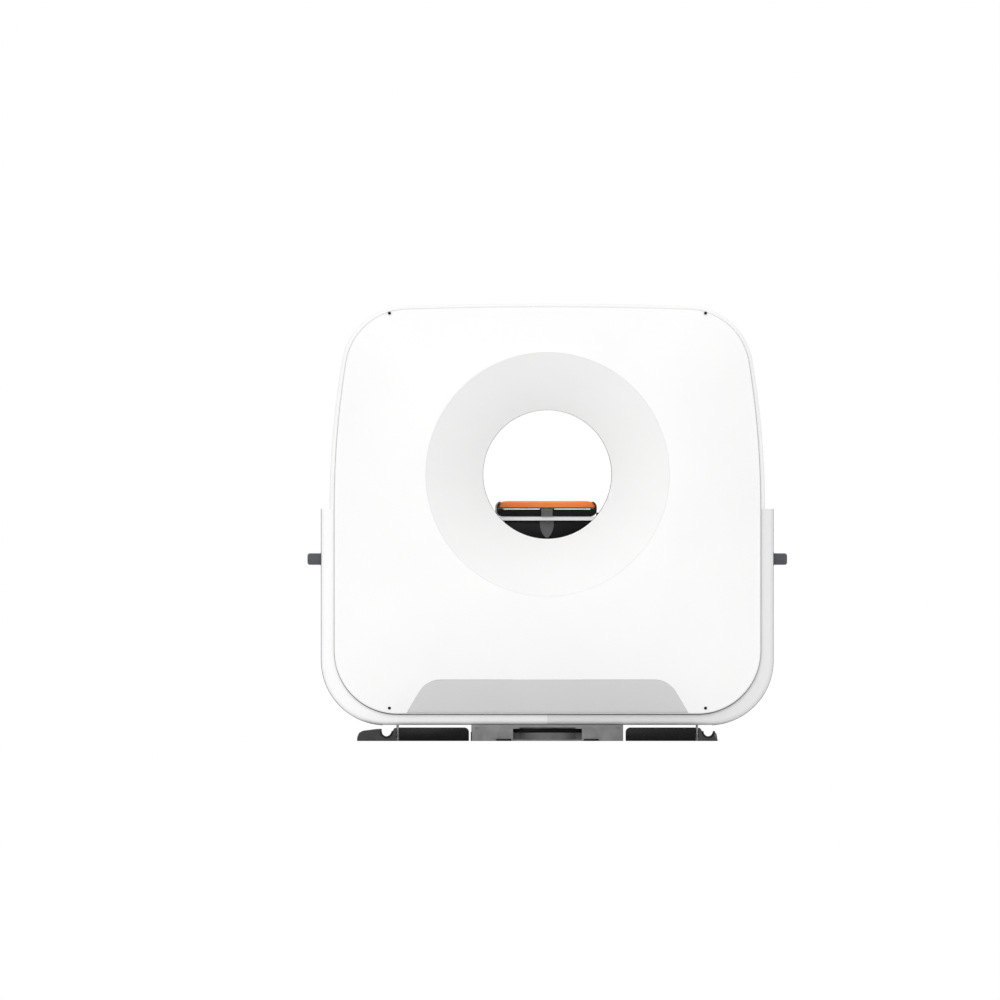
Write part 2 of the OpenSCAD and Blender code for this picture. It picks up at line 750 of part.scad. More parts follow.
// Cast drum: a disc on the inner race, a rim round it, the belt land and four lightening holes
module rotor_drum() {
    land = -belt_mid - land_w / 2;
    color(pale) difference() {
        round_bore() polygon([[race_in_r, -disc_back], [drum_r, -disc_back], [drum_r, land],
            [drum_r + land_h, land], [drum_r + land_h, land + land_w], [drum_r, land + land_w],
            [drum_r, drum_front], [drum_r - rim_t, drum_front], [drum_r - rim_t, -disc_front],
            [race_in_r, -disc_front]]);
        for (a = [45 : 90 : 315])
            translate([0, 0, iso_z]) rotate([0, a, 0]) translate([0, 0, disc_hole_at])
                rotate([90, 0, 0]) cylinder(h = disc_back + 1, r = disc_hole_r);
    }
}
// Brush tracks on the drum
module slip_ring() {
    pitch = slip_w / tracks;
    teeth = [for (i = [0 : tracks - 1]) each [
        [drum_r + slip_h, i * pitch], [drum_r + slip_h, i * pitch + 0.3 * pitch],
        [drum_r + slip_h - 4, i * pitch + 0.3 * pitch], [drum_r + slip_h - 4, (i + 0.9) * pitch],
        [drum_r + slip_h, (i + 0.9) * pitch]]];
    color([0.72, 0.5, 0.3]) translate([0, -disc_back, 0]) round_bore()
        polygon(concat([[drum_r + seat, 0]], teeth, [[drum_r + slip_h, slip_w], [drum_r + seat, slip_w]]));
}
// Fixed brush holder, on an arm from the plate to the slip ring
module brush_block() {
    reach = drum_r + slip_h + slide;
    color(black) translate([0, 0, iso_z]) rotate([0, 62, 0]) {
        block([-45, -disc_back, reach], [45, -disc_back + slip_w, reach + 34]);
        block([-30, -plate_y + seat, reach + 8], [30, -disc_back, reach + 26]);
        block([-30, -plate_y + seat, plate_r - 60], [30, -plate_y + 10, reach + 26]);
    }
}
module drive_motor() {
    color(black) difference() {
        union() {
            bar(motor_x, motor_z, motor_r, -plate_back - motor_len, -plate_back - 10);
            bar(motor_x, motor_z, motor_r + 6, -plate_back - 10, -plate_back);
        }
        bar(motor_x, motor_z, shaft_r + run_fit, -plate_back - 40, -plate_back + 1);
    }
}
module motor_pulley() {
    y = -belt_mid - land_w / 2;
    color(steel) {
        bar(motor_x, motor_z, shaft_r, -plate_back - 38, y + land_w);
        bar(motor_x, motor_z, pulley_r, y, y + land_w);
        bar(motor_x, motor_z, pulley_r + 7, y - 4, y);
        bar(motor_x, motor_z, pulley_r + 7, y + land_w, y + land_w + 4);
    }
}
// Outline of the belt round drum and pulley, grown by k
function belt_loop(k) =
    let (v = [motor_x, motor_z] - bore_axis,
         big = belt_land_r + slide + k,
         small = pulley_r + slide + k,
         lean = acos((big - small) / norm(v)),
         at = bearing(v))
    concat(arc(bore_axis, big, at + lean, at + 360 - lean, 90),
        arc([motor_x, motor_z], small, at - lean, at + lean, 16));
module drive_belt() {
    color(black) along_bore(-belt_mid - belt_w / 2, -belt_mid + belt_w / 2) difference() {
        polygon(belt_loop(belt_t));
        polygon(belt_loop(0));
    }
}
// Power and control cabinets on the slab, clear of the turning ring
module electronics_cabinets() {
    color(grey) {
        block([-power_out, -power_back, slab_top], [-cabinet_in, slab_y - cabinet_edge, slab_top + power_h]);
        block([cabinet_in, power_back, slab_top], [control_out, slab_y - cabinet_edge, slab_top + control_h]);
    }
}

// Moulded arch over both sides and the top
module upper_cover() {
    outer = [for (set = [outer_insets, inner_insets])
        [for (k = set) arch(upper_w, upper_side_r, upper_corner_r, iso_z + upper_top, k)]];
    edge = arch(face_w, face_side_r, face_corner_r, iso_z + face_top, seat_w);
    color(white) strip_skin(shell_rows(outer, edge));
}
// Both halves of an outline above the seam, from right to left
function arch(w, side_r, corner_r, top, k) =
    let (half = half_top(w, side_r, corner_r, top, k))
    concat(half, [for (i = [len(half) - 2 : -1 : 0]) [-half[i][0], half[i][1]]]);
// Lower right half of an outline, starting just off the middle plane and ending under the seam
function skirt_path(w, corner_r, bottom, k) =
    let (low = half_low(w, corner_r, bottom, k))
    [for (i = [0 : len(low) - 1]) [max(low[i][0], seat / 2), min(low[i][1], seam_z - seat)]];
module side_skirt(side) {
    outer = [for (set = [outer_insets, inner_insets])
        [for (k = set) skirt_path(skirt_w, skirt_corner_r, skirt_bottom, k)]];
    edge = skirt_path(face_w, face_low_corner_r, face_bottom, seat_w);
    color(white) mirror([side < 0 ? 1 : 0, 0, 0]) difference() {
        strip_skin(shell_rows(outer, edge));
        // The slab and the levelling bolts come up through the floor of the skirt
        block([-1, -slab_y - reveal, 0], [slab_w + reveal, slab_y + reveal, slab_top]);
    }
}
module side_skirt_left() { side_skirt(-1); }
module side_skirt_right() { side_skirt(1); }
// Rubber buffers on both skirts
module side_buffers() {
    tip = buffer_len - buffer_round;
    color(black) both_sides() translate([skirt_w + seat, 0, buffer_z]) rotate([0, 90, 0])
        rotate_extrude() polygon(concat([[0, 0], [buffer_flange_r, 0], [buffer_flange_r, buffer_flange],
            [buffer_r, buffer_flange + 1]],
            arc([buffer_r - buffer_round, tip], buffer_round, 0, 90, 6), [[0, buffer_len]]));
}

// Outline of a kick panel, grown by k
function kick_outline(k) =
    let (r = kick_corner_r + k,
         c = [kick_flat_w, kick_top - kick_corner_r],
         end = c + r * [cos(kick_slant), sin(kick_slant)],
         low = kick_bottom - k,
         right = concat([[end[0] + (end[1] - low) * tan(kick_slant), low]], arc(c, r, kick_slant, 90, 8)))
    concat(right, [for (i = [len(right) - 1 : -1 : 0]) [-right[i][0], right[i][1]]]);
module face_skin() { ring_skin(face_rows()); }
module kick_prism(k) { along_bore(-rim_y, -band_y - skin - 1) polygon(kick_outline(k)); }
module screw_places() {
    for (x = [-screw_x, screw_x], z = [screw_low_z, iso_z + screw_high_z]) translate([x, 0, z]) children();
}
// Moulded face, lofted from the round rim to the squared outline, with a window for the kick panel
module face_cover() {
    difference() {
        face_skin();
        kick_prism(reveal);
        bar(0, iso_z, flare_r + reveal, -rim_y - 1, -band_y);
        screw_places() bar(0, 0, screw_r + reveal / 2, -rim_y, -band_y + 1);
    }
}
module kick_panel() {
    difference() {
        face_skin();
        difference() {
            block([-face_w - 1, -rim_y - 1, 0], [face_w + 1, -band_y, iso_z + face_top + 1]);
            kick_prism(0);
        }
    }
}
module rear_cover() { color(white) face_cover(); }
module rear_kick_panel() { color(grey) kick_panel(); }
module front_kick_panel() { color(grey) mirror([0, 1, 0]) kick_panel(); }
module front_cover() {
    color(white) difference() {
        mirror([0, 1, 0]) face_cover();
        both_sides() panel_block(reveal, band_y);
        display_block(reveal, band_y);
    }
}
module cover_screws() {
    color(black) both_faces() screw_places()
        bar(0, 0, screw_r, -edge_y - screw_proud, -band_y - seat);
}
// Cone from the flared rim to the throat, with a flange behind the cover
module bore_cone() {
    wall = skin * sqrt(1 + cone_slope * cone_slope);
    // The cover falls away fastest above the rim, so the flange sits back by that much
    reach = first_step * (face_top - edge_round - flare_r);
    fall = (rim_y - edge_y) * pow(first_step, bulge_power) * (cone_flange_w + rim_trim) / reach;
    back = rim_y - skin - seat - fall;
    flange_end = back - skin;
    round_bore() polygon([[flare_r, -rim_y], [bore_r, -throat_y], [bore_r + wall, -throat_y],
        [bore_r + wall + cone_slope * (flange_end - throat_y), -flange_end],
        [flare_r + cone_flange_w, -flange_end], [flare_r + cone_flange_w, -back], [flare_r, -back]]);
}
module rear_bore_cone() { color(white) bore_cone(); }
module front_bore_cone() { color(white) mirror([0, 1, 0]) bore_cone(); }
module bore_tubes() {
    color(white) both_faces() round_bore() polygon([[bore_r, -throat_y], [bore_r + skin, -throat_y],
        [bore_r + skin, -window_y], [bore_r, -window_y]]);
}
module scan_window() {
    color([0.75, 0.85, 0.9]) round_bore()
        translate([bore_r, -window_y]) square([window_wall, 2 * window_y]);
}

// Housing of the display, grown by k and reaching back to y0
module display_block(k, y0) {
    along_bore(y0, display_face)
        translate([0, iso_z + display_z]) rounded(display_w + 2 * k, display_h + 2 * k, 20 + k);
}
module front_display() {
    color(black) display_block(0, display_face - display_deep);
}
// Outline body of a control panel, grown by k and reaching back to y0
module panel_block(k, y0) {
    along_bore(y0, panel_face)
        translate([panel_x, panel_z]) rounded(panel_w + 2 * k, panel_h + 2 * k, panel_round + k);
}
module control_panel(side) {
    color(pale) mirror([side < 0 ? 1 : 0, 0, 0]) difference() {
        panel_block(0, panel_face - panel_deep);
        for (z = key_z)
            bar(panel_x, z, key_r + slide, panel_face - 12, panel_face + 1);
        bar(panel_x, stop_z, stop_stem_r + slide, panel_face - 22, panel_face + 1);
    }
}
module control_panel_left() { control_panel(-1); }
module control_panel_right() { control_panel(1); }
// A round key, resting on its spring with its travel left below it
module panel_key(side, i) {
    color(black) bar(side * panel_x, key_z[i], key_r,
        panel_face - 12 + key_travel + slide, panel_face + key_proud);
}
module key_left_1() { panel_key(-1, 0); }
module key_left_2() { panel_key(-1, 1); }
module key_right_1() { panel_key(1, 0); }
module key_right_2() { panel_key(1, 1); }
// Mushroom head on a stem, with its travel left under the head and below the stem
module emergency_stop(side) {
    low = panel_face + stop_travel + slide;
    color([0.8, 0.08, 0.06]) {
        bar(side * panel_x, stop_z, stop_stem_r, panel_face - 22 + stop_travel + slide, low + 1);
        translate([side * panel_x, low, stop_z]) rotate([-90, 0, 0]) rotate_extrude()
            polygon(concat([[0, 0], [stop_r - 3, 0], [stop_r, 4]],
                arc([stop_r - 6, stop_cap - 6], 6, 0, 90, 6), [[0, stop_cap]]));
    }
}
module emergency_stop_left() { emergency_stop(-1); }
module emergency_stop_right() { emergency_stop(1); }

// Imaging pieces on the front of the drum's disc
module xray_tube() {
    y = -disc_front + seat;
    color(pale) {
        bar(0, focal_z, tube_r, y, y + tube_len);
        bar(0, focal_z, tube_r - 26, y + tube_len, y + tube_len + 22);
    }
}
module collimator() {
    top = focal_z - tube_r - seat;
    color(steel) difference() {
        block([-collimator_w, -disc_front + seat, top - collimator_h], [collimator_w, detector_y, top]);
        block([-collimator_w / 2, -14, top - collimator_h - 1], [collimator_w / 2, 14, top + 1]);
    }
}
// A sector of a ring about the focal spot, opening downwards
module fan_sector(r0, r1, half) {
    translate([0, focal_z]) polygon(concat(arc([0, 0], r1, -90 - half, -90 + half, 24),
        arc([0, 0], r0, -90 + half, -90 - half, 24)));
}
module detector_arc() {
    color(black) along_bore(-disc_front + seat, detector_y)
        fan_sector(detector_r, detector_r + detector_t, fan);
}
module data_modules() {
    pitch = 2 * fan / modules;
    low = detector_r + detector_t + seat;
    color(pale) for (i = [0 : modules - 1])
        translate([0, 0, focal_z]) rotate([0, 180 + (i - (modules - 1) / 2) * pitch, 0])
            block([-module_w, module_inset - detector_y, low],
                [module_w, detector_y - module_inset, low + module_h]);
}
module high_voltage_tank() {
    color(pale) {
        block([-tank_out, -disc_front + seat, iso_z - tank_h], [-tank_in, tank_front, iso_z + tank_h]);
        for (z = [-0.5, 0.5])
            bar(-(tank_in + tank_out) / 2, iso_z + z * tank_h, 24, tank_front, tank_front + 26);
    }
}
module heat_exchanger() {
    pitch = 2 * (tank_h - fin_t) / (fins - 1);
    color(steel) {
        block([tank_in, -disc_front + seat, iso_z - tank_h], [tank_out, core_front, iso_z + tank_h]);
        for (i = [0 : fins - 1])
            translate([0, 0, iso_z - tank_h + i * pitch])
                block([tank_in, core_front - 1, 0], [tank_out, tank_front, fin_t]);
    }
}
module counterweights() {
    color(black) for (a = weight_at)
        along_bore(-disc_front + seat, weight_front) translate(bore_axis)
            polygon(concat(arc([0, 0], drum_r - rim_t - seat, a - weight_half, a + weight_half, 8),
                arc([0, 0], weight_in, a + weight_half, a - weight_half, 8)));
}

// Wall of a telescoping cover, drawn in by k
module cover_tube(k, low, high) {
    translate([0, column_y, low]) linear_extrude(height = high - low) difference() {
        rounded(2 * (cover_w - k), cover_len - 2 * k, cover_round - k);
        rounded(2 * (cover_w - k - cover_wall), cover_len - 2 * (k + cover_wall),
            cover_round - k - cover_wall);
    }
}
// Square tube of the lift column
module column_tube(w, low, high) {
    translate([0, column_y, low]) linear_extrude(height = high - low) difference() {
        square(2 * w, center = true);
        square(2 * (w - tube_wall), center = true);
    }
}
// Steel base plate with the fixed column, the pedal lugs and four floor anchor holes
module table_base() {
    y0 = column_y - base_len / 2;
    color(steel) difference() {
        union() {
            block([-base_w, y0, 0], [base_w, y0 + base_len, base_t]);
            block([-post_w, column_y - post_w, base_t], [post_w, column_y + post_w, post_top]);
            for (x = [-pedal_x, pedal_x], side = [-1, 1]) hull() {
                translate([x + side * (pedal_w / 2 + pedal_gap + lug_w / 2), pedal_y - 14, pedal_z])
                    rotate([0, 90, 0]) cylinder(h = lug_w, r = 13, center = true, $fn = 32);
                translate([x + side * (pedal_w / 2 + pedal_gap + lug_w / 2), pedal_y - 24, base_t / 2])
                    cube([lug_w, 44, 1], center = true);
            }
        }
        translate([0, pedal_y - 14, pedal_z]) rotate([0, 90, 0])
            cylinder(h = 2 * base_w, r = pin_r + run_fit, center = true);
        for (x = [-1, 1], y = [-1, 1])
            translate([x * (base_w - 30), column_y + y * (base_len / 2 - 60), -1])
                cylinder(h = base_t + 2, r = 8);
    }
}
module table_base_cover() {
    color(white) cover_tube(0, base_t, cover_h);
}
module middle_column() {
    color(steel) column_tube(middle_w, middle_low, middle_low + middle_len);
}
// Middle cover with the floor that carries it on the middle column
module middle_cover() {
    k = cover_wall + cover_air;
    color(white) {
        cover_tube(k, middle_low, middle_low + middle_len);
        translate([0, column_y, middle_low]) linear_extrude(height = web_t) difference() {
            rounded(2 * (cover_w - k - 1), cover_len - 2 * (k + 1), cover_round - k - 1);
            square(2 * (middle_w + seat), center = true);
        }
    }
}
module top_column() {
    color(steel) column_tube(top_w, top_low + lift, frame_z);
}
module top_cover() {
    color(white) cover_tube(2 * (cover_wall + cover_air), top_low + lift, frame_z);
}
// Hollow section of the table frame, in by k
module frame_section(k) {
    top = frame_z + frame_h - (k > 0 ? frame_plate : 0);
    shoulder = frame_z + frame_h - frame_plate;
    polygon([[frame_low_w - k, frame_z + k], [frame_w - k, shoulder - 18], [frame_w - k, top],
        [k - frame_w, top], [k - frame_w, shoulder - 18], [k - frame_low_w, frame_z + k]]);
}
// Hollow frame whose top plate reaches out under the cradle's head end
module table_frame() {
    color(white) {
        along_bore(frame_head, frame_foot) difference() {
            frame_section(0);
            frame_section(frame_wall);
        }
        along_bore(plate_head, frame_head + 1) translate([-frame_w, frame_z + frame_h - frame_plate])
            square([2 * frame_w, frame_plate]);
    }
}
// Black caps that close both ends of the frame below its top plate
module frame_end_caps() {
    drop = frame_plate + 0.01;
    color(black) for (y = [frame_head - cap_t, frame_foot])
        along_bore(y, y + cap_t) difference() {
            frame_section(0);
            translate([-frame_w - 1, frame_z + frame_h - drop]) square([2 * frame_w + 2, drop + 1]);
        }
}
// Grey tongue down the middle of the head end cap
module end_cap_tongue() {
    y = frame_head - cap_t;
    top = frame_z + frame_h - frame_plate - 1;
    taper = top - 12;
    low = frame_z + 54;
    right = [for (i = [0 : 10]) let (t = sin(9 * i))
        [tongue_w * pow(1 - pow(t, 1.8), 0.6), taper - t * (taper - low)]];
    color(grey) along_bore(y - tongue_t, y)
        polygon(concat([[-tongue_w, top], [tongue_w, top]], right,
            [for (i = [9 : -1 : 0]) [-right[i][0], right[i][1]]]));
}
module strap_hooks() {
    z = frame_z + frame_h;
    color(black) both_sides() for (i = [0 : hooks - 1])
        along_bore(frame_head + 60 + i * hook_step, frame_head + 90 + i * hook_step)
            polygon([[tray_w + 3, z], [tray_w + 23, z], [tray_w + 23, z + 4], [tray_w + 9, z + 6],
                [tray_w + 7, z + 14], [tray_w + 12, z + 18], [tray_w + 4, z + 18], [tray_w + 3, z + 12]]);
}
// Trough of the cradle: a flat underside, rounded flanks, and rims that curl over the mattress's edges
module cradle_tray() {
    flank = tray_w - tray_low_w;
    centre = [mat_w - mat_round, mat_z + mat_t - mat_round];
    half = concat(
        [[tray_low_w, cradle_z], [tray_w - 0.45 * flank, cradle_z + 0.16 * tray_h],
         [tray_w - 0.1 * flank, cradle_z + 0.45 * tray_h], [tray_w, cradle_z + 0.7 * tray_h]],
        arc(centre, tray_w - centre[0], 0, rim_curl, 5),
        arc(centre, tray_w - tray_lip_w - centre[0], rim_curl, 0, 5),
        [[tray_w - tray_lip_w, bed_z]]);
    color(black) difference() {
        along_bore(cradle_head, cradle_foot)
            polygon(concat(half, [for (i = [len(half) - 1 : -1 : 0]) [-half[i][0], half[i][1]]]));
        socket_holes(cradle_head - 1, cradle_head + socket_deep);
    }
}
// Two pin holes for a head holder
module socket_holes(y0, y1) {
    for (x = [-0.5, 0.5])
        bar(x * socket_step, cradle_z + tray_h / 2, socket_hole_r, y0, y1);
}
// Socket on the cradle's head end
module head_socket() {
    color(grey) difference() {
        block([-socket_w, cradle_head - socket_t, cradle_z + 1], [socket_w, cradle_head, bed_z - 1]);
        socket_holes(cradle_head - socket_t - 1, cradle_head + 1);
    }
}
module mattress() {
    color([0.93, 0.48, 0.22]) along_bore(cradle_head + mat_end, cradle_foot - mat_end)
        translate([0, mat_z + mat_t / 2]) rounded(2 * mat_w, mat_t, mat_round);
}
module pedal(side) {
    x = side * pedal_x;
    color(black) {
        block([x - pedal_w / 2, pedal_y - 14, pedal_z - pedal_t / 2],
            [x + pedal_w / 2, pedal_y - 14 + pedal_len, pedal_z + pedal_t / 2]);
        translate([x, pedal_y - 14, pedal_z]) rotate([0, 90, 0])
            cylinder(h = pedal_w, r = pin_r + 5, center = true);
        translate([x, pedal_y - 14, pedal_z]) rotate([0, 90, 0])
            cylinder(h = pedal_w + 2 * pedal_gap + 2 * lug_w, r = pin_r, center = true);
    }
}
module pedal_left() { pedal(-1); }
module pedal_right() { pedal(1); }

base_frame();
floor_shims();
foot_covers();
anchor_feet();
levelling_bolts();
stator_frame();
outer_race();
brush_block();
drive_motor();
drive_belt();
electronics_cabinets();
upper_cover();
side_skirt_left();
side_skirt_right();
side_buffers();
rear_cover();
rear_kick_panel();
cover_screws();
rear_bore_cone();
bore_tubes();
scan_window();
front_bore_cone();
front_cover();
front_kick_panel();
front_display();
control_panel_left();
control_panel_right();
key_left_1();
key_left_2();
key_right_1();
key_right_2();
emergency_stop_left();
emergency_stop_right();
inner_race();
rotor_drum();
slip_ring();
xray_tube();
collimator();
high_voltage_tank();
heat_exchanger();
detector_arc();
data_modules();
counterweights();
motor_pulley();
table_base();
table_base_cover();
middle_column();
middle_cover();
top_column();
top_cover();
table_frame();
frame_end_caps();
end_cap_tongue();
strap_hooks();
cradle_tray();
head_socket();
mattress();
pedal_left();
pedal_right();
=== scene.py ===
"""CT scanner: mouldings, finishes, mattress and stage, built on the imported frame. All sizes are in metres."""
import json
import math

import bmesh
import bpy
import numpy as np
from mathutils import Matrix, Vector
from mathutils.bvhtree import BVHTree


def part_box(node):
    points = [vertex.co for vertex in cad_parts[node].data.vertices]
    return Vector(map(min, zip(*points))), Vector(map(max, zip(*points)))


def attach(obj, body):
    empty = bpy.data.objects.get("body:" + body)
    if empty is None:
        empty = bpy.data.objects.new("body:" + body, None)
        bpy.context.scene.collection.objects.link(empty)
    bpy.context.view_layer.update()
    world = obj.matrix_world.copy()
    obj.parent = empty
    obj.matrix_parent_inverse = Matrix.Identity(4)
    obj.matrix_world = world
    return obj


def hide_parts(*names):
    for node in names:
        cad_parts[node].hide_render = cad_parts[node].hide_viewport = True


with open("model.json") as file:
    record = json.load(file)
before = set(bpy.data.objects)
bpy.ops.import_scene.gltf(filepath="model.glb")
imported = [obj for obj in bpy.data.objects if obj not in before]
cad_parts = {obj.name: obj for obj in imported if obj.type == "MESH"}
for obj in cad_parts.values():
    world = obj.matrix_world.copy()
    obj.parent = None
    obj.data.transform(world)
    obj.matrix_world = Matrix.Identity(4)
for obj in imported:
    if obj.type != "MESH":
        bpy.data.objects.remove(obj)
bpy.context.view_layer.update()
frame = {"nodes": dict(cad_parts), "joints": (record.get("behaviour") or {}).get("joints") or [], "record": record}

bl_info = {
    "name": "CT scanner",
    "version": (1, 0, 0),
    "blender": (4, 5, 0),
    "location": "3D View > Sidebar > CT scanner",
    "description": "Mouldings, finishes, mattress and stage of a CT scanner on its packed frame",
    "category": "Add Mesh",
}

AXIS_Z = next(j for j in frame["joints"] if j["name"] == "ring_turn")["pos_m"][2]
LOW = {name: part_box(name)[0] for name in frame["nodes"]}
HIGH = {name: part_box(name)[1] for name in frame["nodes"]}
SLOT = {s["node"]: s["material_slot"] for s in frame["record"]["subparts"]}
BODY = {node: body for body, members in frame["record"]["behaviour"]["bodies"].items() for node in members}
# Points round a face cover, and steps round a turned piece
COLUMNS, TURNS = 480, 192
# Each side of the middle plane, and each end of the bore, with its name
SIDES = (-1, "left"), (1, "right")
ENDS = (-1, "rear"), (1, "front")
# Points nearer than this are joined
MERGE = 1e-6
# Wall of the scan window, whose outside is all that the frame gives
WINDOW_WALL = 0.0025


def length(name, about, default):
    """A length as a property."""
    return bpy.props.FloatProperty(
        name=name, description=about, default=default, min=0.0, precision=4, unit="LENGTH", subtype="DISTANCE")


def number(name, about, default):
    """A plain number as a property."""
    return bpy.props.FloatProperty(name=name, description=about, default=default)


def angle(name, about, degrees):
    """An angle as a property."""
    return bpy.props.FloatProperty(
        name=name, description=about, default=math.radians(degrees), subtype="ANGLE", unit="ROTATION")


def tint(name, about, default):
    """A colour as a property, linear red, green and blue."""
    return bpy.props.FloatVectorProperty(
        name=name, description=about, default=default, size=3, min=0.0, max=1.0, subtype="COLOR")


class CoverSizes(bpy.types.PropertyGroup):
    """Sizes of the gantry's moulded covers."""
    bore_r: length("Bore radius", "Radius of the patient bore", HIGH["scan_window"].z - AXIS_Z - WINDOW_WALL)
    flare_r: length("Flare radius", "Radius of the flared rim on both faces", 0.567)
    rim_y: length("Rim", "Distance from the scan plane to the flared rim", -LOW["rear_bore_cone"].y)
    throat_y: length("Throat", "Distance from the scan plane to the throat", HIGH["bore_tubes"].y)
    window_y: length("Window", "Half of the scan window's width", HIGH["scan_window"].y)
    skin: length("Wall", "Wall of the mouldings", 0.005)
    seam_z: length("Seam height", "Height of the seam between upper cover and skirts", LOW["upper_cover"].z)
    upper_w: length("Upper half-width", "Half-width of the upper cover", HIGH["upper_cover"].x)
    upper_top: length("Upper height", "Height of the upper cover", HIGH["upper_cover"].z)
    upper_corner_r: length("Upper corner", "Radius of the upper cover's corners", 0.305)
    upper_side_r: length("Upper side curve", "Radius of the upper cover's sides", 4.1)
    skirt_w: length("Skirt half-width", "Half-width of the side skirts", HIGH["side_skirt_right"].x)
    skirt_bottom: length("Skirt edge", "Height of the skirts' lower edge", LOW["side_skirt_right"].z)
    skirt_corner_r: length("Skirt corner", "Radius of the skirts' lower corners", 0.3)
    face_w: length("Face half-width", "Half-width of the face covers", HIGH["rear_cover"].x)
    face_top: length("Face height", "Height of the face covers' top edge", HIGH["rear_cover"].z)
    face_bottom: length("Face edge", "Height of the face covers' lower edge", LOW["rear_cover"].z)
    face_corner_r: length("Face corner", "Radius of the face covers' upper corners", 0.29)
    face_low_corner_r: length("Face lower corner", "Radius of the face covers' lower corners", 0.293)
    face_side_r: length("Face side curve", "Radius of the face covers' sides", 4.3)
    crown_r: length("Crown", "Radius of the crowned top of all covers", 20.0)
    edge_y: length("Face edge plane", "Distance from the scan plane to the face covers' outer edge", 0.3)
    edge_round: length("Face edge rounding", "Rounding of the face covers' outer edge", 0.01)
    flange_in: length("Cone flange", "Distance of the cones' flange behind the rim", 0.017)
    rim_trim: length("Rim trim", "Width trimmed off the face covers' rim", 0.004)
    band_y: length("Band", "Distance from the scan plane to the band behind the face covers", HIGH["upper_cover"].y)
    band_round: length("Band rounding", "Rounding between band and sides", 0.022)
    seat_w: length("Seat width", "Width of the band under a face cover's edge", 0.015)
    ledge_in: length("Ledge", "How far the skirts' ledge reaches under the upper cover", 0.008)
    lip: length("Lip", "Small rounding of moulded lips", 0.0015)
    rim_lip: length("Rim lip", "Rounding of the two edges that meet at the flared rim", 0.0004)
    throat_lip: length("Throat lip", "Rounding of the edges that meet in the bore's throat", 0.0008)
    window_lip: length("Window lip", "Rounding of the scan window's edges", 0.0004)
    kick_top: length("Kick panel top", "Height of a kick panel's top edge", HIGH["rear_kick_panel"].z)
    kick_bottom: length("Kick panel edge", "Height of a kick panel's lower edge", LOW["rear_kick_panel"].z)
    kick_flat_w: length("Kick panel flat", "Half-width of the straight part of its top edge", 0.496)
    kick_corner_r: length("Kick panel corner", "Radius of its top corners", 0.116)
    slab_w: length("Slab half-width", "Half-width of the base slab that the skirts leave free", 0.74)
    slab_y: length("Slab depth", "Distance from the scan plane to the slab's edge", 0.205)
    display_r: length("Display opening", "Radius of the display opening's corners", 0.02)
    panel_r: length("Panel opening", "Radius of the control panel openings' corners", 0.024)
    reveal: length("Reveal", "Gap round a piece let into a cover", 0.0006)
    seat: length("Seating", "Seating clearance between pieces", 0.0003)
    bulge: number("Bulge", "How fast the face covers fall away from the rim", 1.6)
    kick_slant: angle("Kick panel slant", "Lean of a kick panel's sides", 31)


